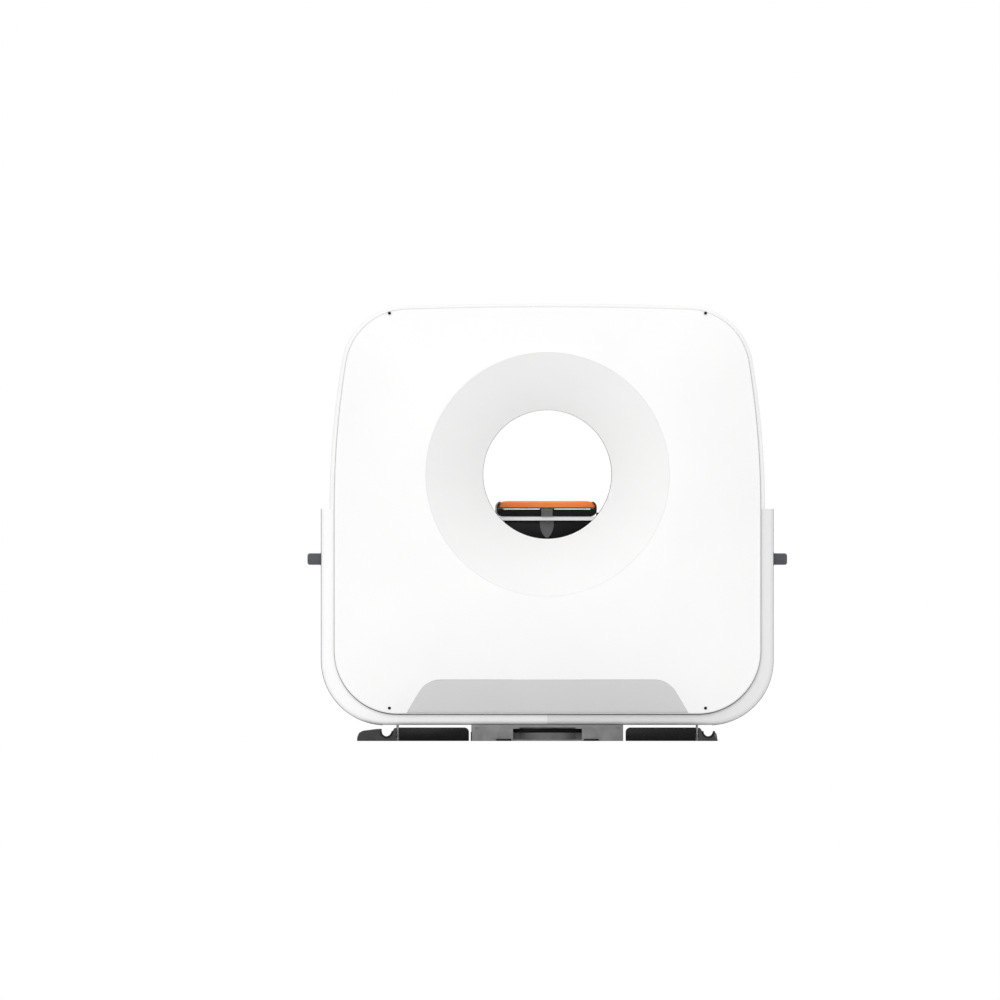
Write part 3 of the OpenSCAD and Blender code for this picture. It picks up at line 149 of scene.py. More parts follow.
class DetailSizes(bpy.types.PropertyGroup):
    """Sizes of screws, seals, feet, buffers, controls and trims."""
    screw_r: length("Screw radius", "Radius of a cover screw's head", 0.007)
    screw_proud: length("Screw height", "Height of a screw head above the cover's edge plane", 0.007)
    screw_key: length("Screw socket", "Radius of a screw's hexagon socket", 0.0035)
    screw_chamfer: length("Screw chamfer", "Chamfer of a screw's head", 0.001)
    socket_deep: length("Socket depth", "Depth of a screw's socket", 0.004)
    screw_x: length("Screw place", "Distance of the screws from the middle plane", 0.735)
    screw_high: length("Upper screws", "Height of the upper screws", 1.99)
    screw_low: length("Lower screws", "Height of the lower screws", 0.153)
    bolt_ring: length("Bolt circle", "Radius of the circle of bearing bolts", 0.452)
    bolt_r: length("Bolt radius", "Radius of a bearing bolt's head", 0.004)
    bolt_high: length("Bolt height", "Height of a bearing bolt's head", 0.006)
    bolt_chamfer: length("Bolt chamfer", "Chamfer of a bearing bolt's head", 0.0008)
    bolt_key: length("Bolt socket", "Radius of a bearing bolt's socket", 0.002)
    bolt_deep: length("Bolt socket depth", "Depth of a bearing bolt's socket", 0.003)
    pedal_x: length("Pedal place", "Distance of the pedals from the middle plane", 0.11)
    pedal_top: length("Pedal height", "Height of the ribs on the pedals", 0.045)
    rib_step: length("Pedal rib spacing", "Distance between the ribs on a pedal", 0.009)
    rib_size: bpy.props.FloatVectorProperty(
        name="Pedal rib", description="Size of a rib on a pedal", default=(0.076, 0.003, 0.0016), precision=4,
        subtype="XYZ_LENGTH")
    glass_inset: length("Glass inset", "Width of the frame round the display's glass", 0.014)
    # Painted shadow: the black strip under a face cover's edge stands in for the shadow that the edge casts on the
    # band.
    seal_w: length("Cover seal", "Width that the seal shows under a face cover's lower edge", 0.0034)
    seal_t: length("Seal thickness", "Thickness of the cover seals", 0.004)
    bead: length("Skirt bead", "Height of the rubber bead along the skirts' joint", 0.0024)
    bead_start: length("Bead start", "Distance of the bead's end from the base slab", 0.012)
    bore_seal: length("Bore seal", "Height of the seal at the bore's throat", 0.0013)
    bore_seal_w: length("Bore seal width", "Half-width of the seal at the bore's throat", 0.003)
    bore_seal_in: length("Bore seal place", "Distance of the seal from the throat", 0.004)
    notch_x: length("Anchor notch", "Distance of the anchor feet's notches from the middle plane", 0.748)
    notch_r: length("Notch radius", "Radius of an anchor foot's notch", 0.022)
    notch_low: length("Notch height", "Height of the bottom of a notch", 0.022)
    collar_w: length("Notch collar", "Width of the black collar round a notch", 0.009)
    collar_t: length("Collar thickness", "How far a collar stands out from its foot", 0.0014)
    collar_rise: length("Collar rise", "Height of a collar's ends above the notch's bend", 0.002)
    buffer_r: length("Buffer radius", "Radius of a side buffer", 0.027)
    buffer_flange: length("Buffer flange", "Thickness of a side buffer's flange", 0.004)
    buffer_tip: length("Buffer tip", "Rounding of a side buffer's tip", 0.017)
    plug_r: length("Plug radius", "Radius of the blanking plugs in the head socket", 0.0048)
    plug_x: length("Plug place", "Distance of the plugs from the middle plane", 0.014)
    plug_len: length("Plug length", "Length of a plug", 0.004)
    # Painted highlight: the bright strips on the tray's head edge stand in for the highlight along that edge.
    edge_strip: length("Edge strip", "Height of the bright strips on the tray's head edge", 0.0028)
    strip_t: length("Strip thickness", "Thickness of a strip", 0.0016)
    strip_down: length("Strip place", "Distance of a strip below the mattress", 0.0006)
    strip_in: length("Strip start", "Distance of a strip from the head socket", 0.008)
    strip_out: length("Strip end", "Distance of a strip from the tray's side", 0.03)


class PadSizes(bpy.types.PropertyGroup):
    """Sizes of the mattress and of the tray's rims round it."""
    rim_r: length("Rim radius", "Radius of the tray's curled rims", 0.03)
    rim_t: length("Rim thickness", "Thickness of the tray's rims", 0.0036)
    rim_turn: angle("Rim turn", "Angle that a rim curls in over the mattress", 62)
    rim_up: length("Rim height", "Height of a rim's centre above the mattress's underside", 0.0057)
    rim_gap: length("Rim gap", "Gap between the mattress and the inside of a rim", 0.0006)
    tray_edge: length("Tray edge", "Rounding of the tray's end edges", 0.0012)
    shoulder: length("Shoulder", "Rounding of the mattress's long upper edges", 0.026)
    small_r: length("Lower edge", "Rounding of the mattress's long lower edges", 0.006)
    rounding: length("Rounding", "Rounding of the mattress's ends", 0.012)
    slack: length("Slack", "How much smaller the pad starts before it is filled", 0.002)
    voxel: length("Voxel", "Mesh size for the simulated pad", 0.006)
    swell: length("Swell", "Farthest that a point of the pad may move", 0.006)
    held: length("Held underside", "Height of the underside's strip that is held in place", 0.003)
    welt_r: length("Welt radius", "Radius of the black welt round the lower edge", 0.0021)
    welt_up: length("Welt height", "Height of the welt above the underside", 0.0032)
    seam_up: length("Seam height", "Height of the stitched seam above the underside", 0.012)
    stitch_step: length("Stitch spacing", "Distance between stitches", 0.009)
    stitch_len: length("Stitch length", "Length of a stitch", 0.006)
    stitch_r: length("Stitch radius", "Radius of the thread", 0.0007)


class FinishColours(bpy.types.PropertyGroup):
    """Colours of the finishes."""
    white: tint("White moulding", "Painted mouldings", (0.93, 0.93, 0.925))
    # Painted shade: the right side skirt is the same white as the others, made greyer here to stand in for the shade
    # on the gantry's right side.
    shaded: tint("Shaded moulding", "Right side skirt, a slightly greyer white", (0.78, 0.78, 0.778))
    pale: tint("Pale moulding", "Control panels and modules", (0.74, 0.755, 0.77))
    grey: tint("Grey moulding", "Kick panels", (0.64, 0.64, 0.64))
    dark: tint("Dark moulding", "Tongue and head socket", (0.13, 0.13, 0.132))
    black: tint("Black plastic", "Caps, feet, hooks, pedals and seals", (0.004, 0.004, 0.0042))
    rubber: tint("Rubber", "Side buffers", (0.1, 0.103, 0.115))
    steel: tint("Painted steel", "Base block, stator frame and table base", (0.185, 0.185, 0.187))
    orange: tint("Orange vinyl", "Mattress", (1.0, 0.25, 0.03))
    carbon: tint("Carbon", "Cradle tray", (0.006, 0.006, 0.0065))
    key: tint("Key rubber", "Keys of the control panels", (0.03, 0.031, 0.035))
    red: tint("Red", "Emergency stops", (0.6, 0.018, 0.012))
    screen: tint("Screen", "Glass of the display", (0.012, 0.014, 0.018))
    film: tint("Window film", "Scan window", (0.78, 0.84, 0.88))
    screw: tint("Screw black", "Cover screws", (0.004, 0.004, 0.004))
    bearing: tint("Bearing steel", "Bearing races and pulley", (0.5, 0.5, 0.52))
    bright: tint("Bright steel", "Table columns and the strips on the tray", (0.94, 0.94, 0.95))
    iron: tint("Black iron", "Anchor feet, motor and counterweights", (0.044, 0.044, 0.045))
    cabinet: tint("Cabinet grey", "Cabinets and high-voltage tank", (0.42, 0.43, 0.44))
    dark_cabinet: tint("Cabinet black", "Detector arc", (0.02, 0.02, 0.022))
    cast: tint("Cast aluminium", "Drum, X-ray tube and heat exchanger", (0.5, 0.51, 0.52))
    plated: tint("White aluminium", "Levelling bolts and table frame", (0.93, 0.93, 0.93))
    brass: tint("Brass", "Slip ring tracks", (0.62, 0.38, 0.12))


class StageSettings(bpy.types.PropertyGroup):
    """Camera, light and floor."""
    pixel: length("Pixel", "Size of one pixel of the picture", 0.00465)
    pixels: bpy.props.IntProperty(name="Pixels", description="Pixels across the picture", default=1000)
    axis_px: number("Axis column", "Pixel column of the middle plane in the picture", 547.5)
    floor_px: number("Floor row", "Pixel row of the floor line in the picture", 741.0)
    back: length("Camera distance", "Distance of the camera behind the gantry", 22.0)
    reach: length("Floor reach", "Distance from the middle of the floor to its edges", 30.0)
    yaw: angle("Camera turn", "Turn of the camera away from square on", 0.2)
    dome: number("Dome", "Strength of the studio dome all round", 0.6)
    dome_side: number("Dome side", "Added strength on the left", 0.09)
    dome_top: number("Dome top", "Added strength overhead", 0.39)
    lamp: number("Lamp", "Strength of the soft lamp", 0.78)
    lamp_turn: bpy.props.FloatVectorProperty(
        name="Lamp direction", description="Direction from the object to the lamp", default=(-0.12, -1.0, 0.34))
    lamp_width: angle("Lamp width", "Angle that the lamp covers", 30)


def covers():
    """The covers' sizes."""
    return bpy.context.scene.scanner_covers


def details():
    """The small pieces' sizes."""
    return bpy.context.scene.scanner_details


def pad():
    """The mattress's sizes."""
    return bpy.context.scene.scanner_pad


# Materials


class Nodes:
    """A node tree with a short way to add linked nodes."""

    def __init__(self, tree):
        self.tree = tree
        self.column = 0

    def add(self, kind, sockets=None, **settings):
        """Adds a node. A socket's entry is a value, or an output that gets linked to it."""
        node = self.tree.nodes.new(kind)
        node.location = (200 * self.column, 0)
        self.column += 1
        for key, value in settings.items():
            setattr(node, key, value)
        for key, value in (sockets or {}).items():
            if isinstance(value, bpy.types.NodeSocket):
                self.tree.links.new(value, node.inputs[key])
            else:
                node.inputs[key].default_value = value
        return node

    def math(self, operation, a, b=0.0, c=0.0):
        """A math node's result."""
        return self.add("ShaderNodeMath", {0: a, 1: b, 2: c}, operation=operation).outputs[0]

    def spread(self, value, low, high, to_low=0.0, to_high=1.0):
        """Maps a value from one range to another, clamped."""
        return self.add("ShaderNodeMapRange", {
            "Value": value, "From Min": low, "From Max": high, "To Min": to_low, "To Max": to_high}).outputs[0]

    def mix(self, factor, a, b, blend="MIX"):
        """Mixes two colours."""
        return self.add(
            "ShaderNodeMix", {0: factor, 6: a, 7: b}, data_type="RGBA", blend_type=blend).outputs[2]

    def noise(self, vector, scale, detail=2.0, rough=0.5):
        """A noise pattern's value."""
        return self.add("ShaderNodeTexNoise", {
            "Vector": vector, "Scale": scale, "Detail": detail, "Roughness": rough}).outputs[0]

    def bump(self, height, distance):
        """A bumped normal."""
        return self.add("ShaderNodeBump", {"Height": height, "Distance": distance}).outputs[0]


def surface_group(name, values):
    """A shader group with a colour and named numbers in, and colour, roughness and normal out."""
    tree = bpy.data.node_groups.new(name, "ShaderNodeTree")
    tree.interface.new_socket("Colour", in_out="INPUT", socket_type="NodeSocketColor")
    for label, value in values.items():
        socket = tree.interface.new_socket(label, in_out="INPUT", socket_type="NodeSocketFloat")
        socket.default_value = value
    for label, kind in (("Colour", "Color"), ("Roughness", "Float"), ("Normal", "Vector")):
        tree.interface.new_socket(label, in_out="OUTPUT", socket_type="NodeSocket" + kind)
    nodes = Nodes(tree)
    inputs = nodes.add("NodeGroupInput").outputs
    place = nodes.add("ShaderNodeTexCoord").outputs["Object"]
    return nodes, inputs, place


def group_end(nodes, colour, roughness, normal):
    """Wires a surface group's outputs."""
    nodes.add("NodeGroupOutput", {"Colour": colour, "Roughness": roughness, "Normal": normal})
    return nodes.tree


def moulded_group():
    """Moulded or painted surface: fine orange peel, faint mottling, and dust that softens the gloss."""
    nodes, inputs, place = surface_group("moulded surface", {
        "Roughness": 0.4, "Grain": 700.0, "Depth": 0.00004, "Mottle": 0.03})
    grain = nodes.noise(place, inputs["Grain"], 3.0)
    patches = nodes.noise(place, 3.0, 4.0)
    darker = nodes.mix(1.0, inputs["Colour"], (0.93, 0.93, 0.935, 1), "MULTIPLY")
    share = nodes.math("MULTIPLY", nodes.spread(patches, 0.3, 0.7), inputs["Mottle"])
    colour = nodes.mix(nodes.math("MULTIPLY", share, 10.0), inputs["Colour"], darker)
    rough = nodes.math("ADD", inputs["Roughness"], nodes.spread(patches, 0.3, 0.7, -0.05, 0.05))
    return group_end(nodes, colour, rough, nodes.bump(grain, inputs["Depth"]))


def worn_group():
    """Painted or cast metal: coarser grain, with rubbed edges that show a lighter colour."""
    nodes, inputs, place = surface_group("worn metal", {
        "Roughness": 0.5, "Grain": 350.0, "Depth": 0.0001, "Wear": 0.3})
    grain = nodes.noise(place, inputs["Grain"], 4.0, 0.6)
    patches = nodes.noise(place, 14.0, 5.0)
    edge = nodes.spread(nodes.add("ShaderNodeNewGeometry").outputs["Pointiness"], 0.53, 0.6)
    wear = nodes.math("MULTIPLY", nodes.math("MULTIPLY", edge, nodes.spread(patches, 0.35, 0.6)), inputs["Wear"])
    stained = nodes.mix(nodes.spread(patches, 0.4, 0.7, 0.0, 0.25), inputs["Colour"], (0.05, 0.05, 0.052, 1))
    colour = nodes.mix(wear, stained, (0.5, 0.5, 0.5, 1))
    rough = nodes.math("ADD", inputs["Roughness"], nodes.spread(grain, 0.3, 0.7, -0.06, 0.06))
    return group_end(nodes, colour, rough, nodes.bump(grain, inputs["Depth"]))


def brushed_group():
    """Machined metal with fine drawn lines along the bore."""
    nodes, inputs, place = surface_group("brushed metal", {
        "Roughness": 0.3, "Grain": 900.0, "Depth": 0.00002})
    drawn = nodes.add("ShaderNodeMapping", {"Vector": place, "Scale": (1.0, 0.02, 1.0)}).outputs[0]
    lines = nodes.noise(drawn, inputs["Grain"], 3.0)
    colour = nodes.mix(nodes.spread(lines, 0.3, 0.7, 0.0, 0.35), inputs["Colour"], (0.4, 0.4, 0.41, 1))
    rough = nodes.math("ADD", inputs["Roughness"], nodes.spread(lines, 0.3, 0.7, -0.08, 0.08))
    return group_end(nodes, colour, rough, nodes.bump(lines, inputs["Depth"]))


def twill_group():
    """Two by two twill of carbon tows under clear resin, laid over each side by its normal, with the tows on top
    painted lighter towards their crowns as a painted sheen.
    """
    nodes, inputs, place = surface_group("carbon twill", {"Roughness": 0.25, "Tow": 0.003, "Depth": 0.0001})
    at = nodes.add("ShaderNodeSeparateXYZ", {0: place}).outputs
    facing = nodes.add("ShaderNodeTexCoord").outputs["Normal"]
    turn = nodes.add("ShaderNodeSeparateXYZ", {0: facing}).outputs
    flank = nodes.math("GREATER_THAN", nodes.math("ABSOLUTE", turn[0]), 0.7)
    head = nodes.math("GREATER_THAN", nodes.math("ABSOLUTE", turn[1]), 0.7)
    upright = nodes.math("MAXIMUM", flank, head)
    first = nodes.math("ADD", at[0], nodes.math("MULTIPLY", flank, nodes.math("SUBTRACT", at[1], at[0])))
    second = nodes.math("ADD", at[1], nodes.math("MULTIPLY", upright, nodes.math("SUBTRACT", at[2], at[1])))
    warp = nodes.math("DIVIDE", nodes.math("ADD", first, second), inputs["Tow"])
    weft = nodes.math("DIVIDE", nodes.math("SUBTRACT", first, second), inputs["Tow"])
    cell = nodes.math("ADD", nodes.math("FLOOR", warp), nodes.math("FLOOR", weft))
    over = nodes.math("LESS_THAN", nodes.math("FLOORED_MODULO", cell, 4.0), 2.0)
    heights = []
    for run in (warp, weft):
        across = nodes.math("SUBTRACT", nodes.math("MULTIPLY", nodes.math("FRACT", run), 2.0), 1.0)
        heights.append(nodes.math("SUBTRACT", 1.0, nodes.math("MULTIPLY", across, across)))
    apart = nodes.math("SUBTRACT", heights[0], heights[1])
    height = nodes.math("ADD", heights[1], nodes.math("MULTIPLY", over, apart))
    # Painted sheen: the tows that lie on top are made up to 2.6 times lighter towards their crowns, standing in for
    # the resin's reflection along them; the weave pattern itself is real.
    bright = nodes.mix(1.0, inputs["Colour"], (2.6, 2.6, 2.7, 1), "MULTIPLY")
    colour = nodes.mix(nodes.math("MULTIPLY", over, height), inputs["Colour"], bright)
    rough = nodes.math("ADD", inputs["Roughness"], nodes.math("MULTIPLY", over, 0.12))
    return group_end(nodes, colour, rough, nodes.bump(height, inputs["Depth"]))


def vinyl_group():
    """Coated fabric with a fine pebbled grain and soft colour shifts."""
    nodes, inputs, place = surface_group("pebbled vinyl", {
        "Roughness": 0.42, "Grain": 520.0, "Depth": 0.00012})
    pebbles = nodes.add("ShaderNodeTexVoronoi", {
        "Vector": place, "Scale": inputs["Grain"], "Smoothness": 0.6}, feature="SMOOTH_F1").outputs["Distance"]
    soft = nodes.noise(place, 9.0, 4.0)
    deep = nodes.mix(1.0, inputs["Colour"], (0.95, 0.92, 0.9, 1), "MULTIPLY")
    colour = nodes.mix(nodes.spread(soft, 0.35, 0.7), inputs["Colour"], deep)
    rough = nodes.math("ADD", inputs["Roughness"], nodes.spread(pebbles, 0.1, 0.7, 0.06, -0.06))
    return group_end(nodes, colour, rough, nodes.bump(nodes.math("SUBTRACT", 1.0, pebbles), inputs["Depth"]))


def empty_material(name):
    """A material with an empty node tree."""
    material = bpy.data.materials.new(name)
    material.use_nodes = True
    material.node_tree.nodes.clear()
    return material, Nodes(material.node_tree)


def finish(slot, group, colour, values, shader=None):
    """The material of one slot: a surface group that feeds a Principled shader, plain numbers set on the shader."""
    material, nodes = empty_material(slot + "_finish")
    surface = nodes.add("ShaderNodeGroup", node_tree=group)
    surface.inputs["Colour"].default_value = (*colour, 1)
    for label, value in values.items():
        surface.inputs[label].default_value = value
    principled = nodes.add("ShaderNodeBsdfPrincipled", {
        "Base Color": surface.outputs["Colour"], "Roughness": surface.outputs["Roughness"],
        "Normal": surface.outputs["Normal"], **(shader or {})})
    nodes.add("ShaderNodeOutputMaterial", {"Surface": principled.outputs[0]})
    material.diffuse_color = (*colour, 1)
    return material


def sheen(level):
    """A shader setting for the strength of the plain reflection."""
    return {"Specular IOR Level": level}


def coat(weight, rough):
    """Shader settings for a clear coat."""
    return {"Coat Weight": weight, "Coat Roughness": rough}


def metal(share=1.0):
    """A shader setting for metal."""
    return {"Metallic": share}


def make_finishes():
    """One material for each slot of the record."""
    c = bpy.context.scene.scanner_colours
    moulded, worn, brushed, twill, vinyl = (
        moulded_group(), worn_group(), brushed_group(), twill_group(), vinyl_group())
    painted, coarse = {"Roughness": 0.42, "Mottle": 0.02}, {"Grain": 450.0, "Depth": 0.00008}
    gloss, dull = coat(0.25, 0.15), sheen(0.12)
    rows = {
        "white_moulding": (moulded, c.white, painted, sheen(0.25)),
        # Painted shade: the right side skirt wears the white made greyer, for the shade on the gantry's right side.
        "shaded_moulding": (moulded, c.shaded, painted, sheen(0.25)),
        "pale_moulding": (moulded, c.pale, {"Roughness": 0.38, "Depth": 0.00006}, gloss),
        "grey_moulding": (moulded, c.grey, {"Roughness": 0.55, **coarse}, sheen(0.3)),
        "dark_moulding": (moulded, c.dark, {"Roughness": 0.5, **coarse}, dull),
        "black_plastic": (moulded, c.black, {"Roughness": 0.3, "Depth": 0.00006}, dull),
        "key_rubber": (moulded, c.key, {"Roughness": 0.6, "Depth": 0.0001}),
        "stop_red": (moulded, c.red, {"Roughness": 0.25}, gloss),
        "dark_screen": (moulded, c.screen, {"Roughness": 0.14, "Depth": 0.00001}, coat(1.0, 0.03)),
        "window_film": (moulded, c.film, {"Roughness": 0.18, "Depth": 0.00001}, {"Coat Weight": 0.5}),
        "carbon_black": (twill, c.carbon, {"Roughness": 0.32}, sheen(0.07)),
        "grey_steel": (worn, c.steel, {"Roughness": 0.5, "Wear": 0.25}, dull),
        "black_screw": (worn, c.screw, {"Roughness": 0.4, "Wear": 0.05}, dull),
        "bearing_steel": (brushed, c.bearing, {"Roughness": 0.22}, metal()),
        "bright_steel": (brushed, c.bright, {"Roughness": 0.34}, metal()),
        "black_iron": (worn, c.iron, {"Roughness": 0.45, "Grain": 250.0, "Depth": 0.0002, "Wear": 0.15}, dull),
        "black_rubber": (moulded, c.rubber, {"Roughness": 0.4, "Grain": 500.0, "Depth": 0.0001}, dull),
        "cabinet_grey": (worn, c.cabinet, {"Roughness": 0.45, "Wear": 0.2}),
        "cabinet_black": (worn, c.dark_cabinet, {"Roughness": 0.4, "Wear": 0.15}),
        "cast_aluminium": (worn, c.cast, {"Roughness": 0.48, "Grain": 220.0, "Depth": 0.0003}, metal(0.85)),
        "white_aluminium": (moulded, c.plated, {"Roughness": 0.38, "Mottle": 0.02}, sheen(0.35)),
        "track_brass": (brushed, c.brass, {"Roughness": 0.2}, metal()),
        "orange_vinyl": (vinyl, c.orange, {}, sheen(0.3)),
    }
    return {slot: finish(slot, *row) for slot, row in rows.items()}


FINISH = {}


# Shapes


def arc(centre, r, a, b, n):
    """Points on an arc, first and last angle (in degrees) included."""
    t = np.radians(np.linspace(a, b, n + 1))
    return np.stack([centre[0] + r * np.cos(t), centre[1] + r * np.sin(t)], 1)


def bearing(v):
    """Direction of a vector, in degrees."""
    return math.degrees(math.atan2(v[1], v[0]))


def crossing(s, rs, t, rt):
    """The upper right crossing of two circles."""
    d = np.linalg.norm(t - s)
    u = (t - s) / d
    a = (rs * rs - rt * rt + d * d) / (2 * d)
    return s + a * u + math.sqrt(rs * rs - a * a) * np.array([-u[1], u[0]])


def half_top(w, side_r, corner_r, top, k, n=(24, 32, 20)):
    """Right half of a cover's outline above the seam: side, corner and crown arcs, drawn in by k."""
    c = covers()
    s = np.array([w - side_r, c.seam_z])
    t = np.array([0.0, top - c.crown_r])
    mid = crossing(s, side_r - corner_r, t, c.crown_r - corner_r)
    turn, over = bearing(mid - s), bearing(mid - t)
    return np.concatenate([
        arc(s, side_r - k, 0, turn, n[0]), arc(mid, corner_r - k, turn, over, n[1])[1:],
        arc(t, c.crown_r - k, over, 90, n[2])[1:]])


def half_low(w, corner_r, bottom, k, n=(20, 32, 16)):
    """Right half of an outline below the seam, from the bottom centre, drawn in by k."""
    seam = covers().seam_z
    flat = np.linspace(0, w - corner_r, n[0], endpoint=False)
    rise = np.linspace(bottom + corner_r, seam, n[2] + 1)[1:]
    return np.concatenate([
        np.stack([flat, np.full(n[0], bottom + k)], 1),
        arc((w - corner_r, bottom + corner_r), corner_r - k, -90, 0, n[1]),
        np.stack([np.full(n[2], w - k), rise], 1)])


def face_half(k):
    """Right half of a face cover's outline, drawn in by k."""
    c = covers()
    return np.concatenate([
        half_low(c.face_w, c.face_low_corner_r, c.face_bottom, k),
        half_top(c.face_w, c.face_side_r, c.face_corner_r, c.face_top, k)[1:]])


def face_reach(k, bearings):
    """How far a face cover's outline lies from the bore's axis in each direction."""
    half = face_half(k) - (0, AXIS_Z)
    turn = np.arctan2(half[:, 0], -half[:, 1])
    return np.interp(np.abs(bearings), turn, np.hypot(half[:, 0], half[:, 1]))


def face_depth(x, z, deep=0.0):
    """Where a face cover's surface lies along the bore, over points of its plane, behind it by deep."""
    c = covers()
    turn = np.arctan2(x, AXIS_Z - z)
    start = c.flare_r + c.reveal - c.rim_trim
    s = (np.hypot(x, z - AXIS_Z) - start) / (face_reach(c.edge_round, turn) - start)
    inset = np.clip((np.hypot(x, z - AXIS_Z) - face_reach(c.edge_round, turn)) / c.edge_round, 0, 1)
    drop = c.edge_round * (1 - np.sqrt(1 - inset * inset))
    bulged = c.rim_y - (c.rim_y - c.edge_y) * np.clip(s, 0, 1) ** c.bulge
    return -(bulged - drop) + deep


def link(name, data):
    """An object of the scene that holds the given data."""
    obj = bpy.data.objects.new(name, data)
    bpy.context.scene.collection.objects.link(obj)
    return obj


def built(name, points, faces=(), edges=(), merge=False):
    """A mesh from points, edges and faces; faces are turned outward, near points joined where asked."""
    mesh = bpy.data.meshes.new(name)
    mesh.from_pydata([tuple(p) for p in points], edges, faces)
    if len(faces):
        work = bmesh.new()
        work.from_mesh(mesh)
        if merge:
            bmesh.ops.remove_doubles(work, verts=work.verts, dist=MERGE)
        bmesh.ops.recalc_face_normals(work, faces=work.faces)
        work.to_mesh(mesh)
        work.free()
    return mesh


def piece(name, points, faces, node, replaces=True, slot=None):
    """A finished mesh piece that stands for a CAD node, rides on its body and wears its slot's finish."""
    return settle(name, built(name, points, faces, merge=True), node, 30.0, replaces, slot)


def trim(name, points, faces, node, slot=None):
    """A small piece that a node carries beside its own shape."""
    return piece(name, points, faces, node, replaces=False, slot=slot)


def settle(name, mesh, node, smooth=30.0, replaces=True, slot=None):
    mesh.name = name
    obj = link(name, mesh)
    mesh.materials.clear()
    mesh.materials.append(FINISH[slot or SLOT[node]])
    shade(obj, smooth)
    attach(obj, BODY[node])
    if replaces:
        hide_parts(node)
    return obj


def grid_faces(rows, columns, wrap_rows, wrap_columns, base=0):
    """Quads of a grid of points, laid out row after row."""
    faces = []
    for i in range(rows if wrap_rows else rows - 1):
        for j in range(columns if wrap_columns else columns - 1):
            k, m = (i + 1) % rows, (j + 1) % columns
            faces.append(tuple(base + at for at in (
                i * columns + j, i * columns + m, k * columns + m, k * columns + j)))
    return faces


def stack(rows):
    """Rows of points as one list."""
    return np.concatenate([np.asarray(row) for row in rows])


def in_plane(points, y):
    """Points of the XZ plane, set at y."""
    points = np.asarray(points)
    return np.stack([points[:, 0], np.broadcast_to(y, len(points)), points[:, 1]], 1)


def flipped(points):
    """The same points on the other side of the scan plane."""
    return np.asarray(points) * (1, -1, 1)


def turned(profile, centre, axis, turns=TURNS):
    """Points and faces of a profile (radius, distance) turned about an axis; it closes on itself or on the axis."""
    axis = Vector(axis).normalized()
    side = axis.orthogonal().normalized()
    up = axis.cross(side)
    rows = []
    for i in range(turns):
        a = 2 * math.pi * i / turns
        out = np.array(side * math.cos(a) + up * math.sin(a))
        rows.append([np.array(centre) + r * out + d * np.array(axis) for r, d in profile])
    on_axis = profile[0][0] == 0 and profile[-1][0] == 0
    return stack(rows), grid_faces(turns, len(profile), True, not on_axis)


def fillet(profile, rounds, n=5):
    """A closed or open profile with some corners rounded: rounds gives the radius at each point, 0 for none."""
    out = []
    count = len(profile)
    for i, (p, r) in enumerate(zip(profile, rounds)):
        p = np.array(p, float)
        if r == 0:
            out.append(tuple(p))
            continue
        a = np.array(profile[i - 1], float) - p
        b = np.array(profile[(i + 1) % count], float) - p
        la, lb = np.linalg.norm(a), np.linalg.norm(b)
        a, b = a / la, b / lb
        half = math.acos(max(-1.0, min(1.0, float(a @ b)))) / 2
        run = min(r / math.tan(half), 0.49 * la, 0.49 * lb)
        for t in np.linspace(0, 1, n + 1):
            q = (1 - t) ** 2 * (p + a * run) + 2 * t * (1 - t) * p + t * t * (p + b * run)
            out.append(tuple(q))
    return out


def cut(obj, points, faces):
    """Takes a closed shape out of a piece's mesh."""
    cutter = link("cutter", built("cutter", points, faces))
    tool = obj.modifiers.new("Cut", "BOOLEAN")
    tool.operation, tool.solver, tool.object = "DIFFERENCE", "EXACT", cutter
    bake(obj)
    bpy.data.objects.remove(cutter)


def finished(obj):
    """A new mesh of what an object's modifiers make."""
    bpy.context.view_layer.update()
    ready = obj.evaluated_get(bpy.context.evaluated_depsgraph_get())
    return bpy.data.meshes.new_from_object(ready)


def bake(obj):
    """Applies a piece's modifiers to its mesh."""
    mesh = finished(obj)
    old, name = obj.data, obj.data.name
    obj.modifiers.clear()
    obj.data = mesh
    bpy.data.meshes.remove(old)
    mesh.name = name


def bevelled(obj, width, angle, segments=3):
    """Rounds the edges of a piece that are sharper than an angle."""
    bevel = obj.modifiers.new("Bevel", "BEVEL")
    bevel.width, bevel.segments = width, segments
    bevel.limit_method, bevel.angle_limit = "ANGLE", math.radians(angle)
    bake(obj)


def shade(obj, smooth=30.0):
    """Smooth shading with sharp edges kept."""
    obj.data.polygons.foreach_set("use_smooth", np.ones(len(obj.data.polygons), bool))
    obj.data.set_sharp_from_angle(angle=math.radians(smooth))


def prism(outline, y0, y1):
    """Points and faces of an outline in the XZ plane, pushed from y0 to y1."""
    n = len(outline)
    points = stack([in_plane(outline, y0), in_plane(outline, y1)])
    faces = grid_faces(2, n, False, True)
    return points, faces + [tuple(range(n)), tuple(range(n, 2 * n))]


def softened(node, width, angle=35.0, segments=3, slot=None):
    """A merged copy of a CAD node with its sharp edges rounded; it replaces the node."""
    work = bmesh.new()
    work.from_mesh(frame["nodes"][node].data)
    bmesh.ops.remove_doubles(work, verts=work.verts, dist=MERGE)
    bmesh.ops.dissolve_limit(
        work, angle_limit=math.radians(0.5), verts=work.verts, edges=work.edges, delimit={"NORMAL"})
    mesh = bpy.data.meshes.new(node)
    work.to_mesh(mesh)
    work.free()
    obj = link(node + "_work", mesh)
    bevelled(obj, width, angle, segments)
    mesh = obj.data
    bpy.data.objects.remove(obj)
    return settle(node + "_piece", mesh, node, smooth=angle, slot=slot)


# Geometry node trees


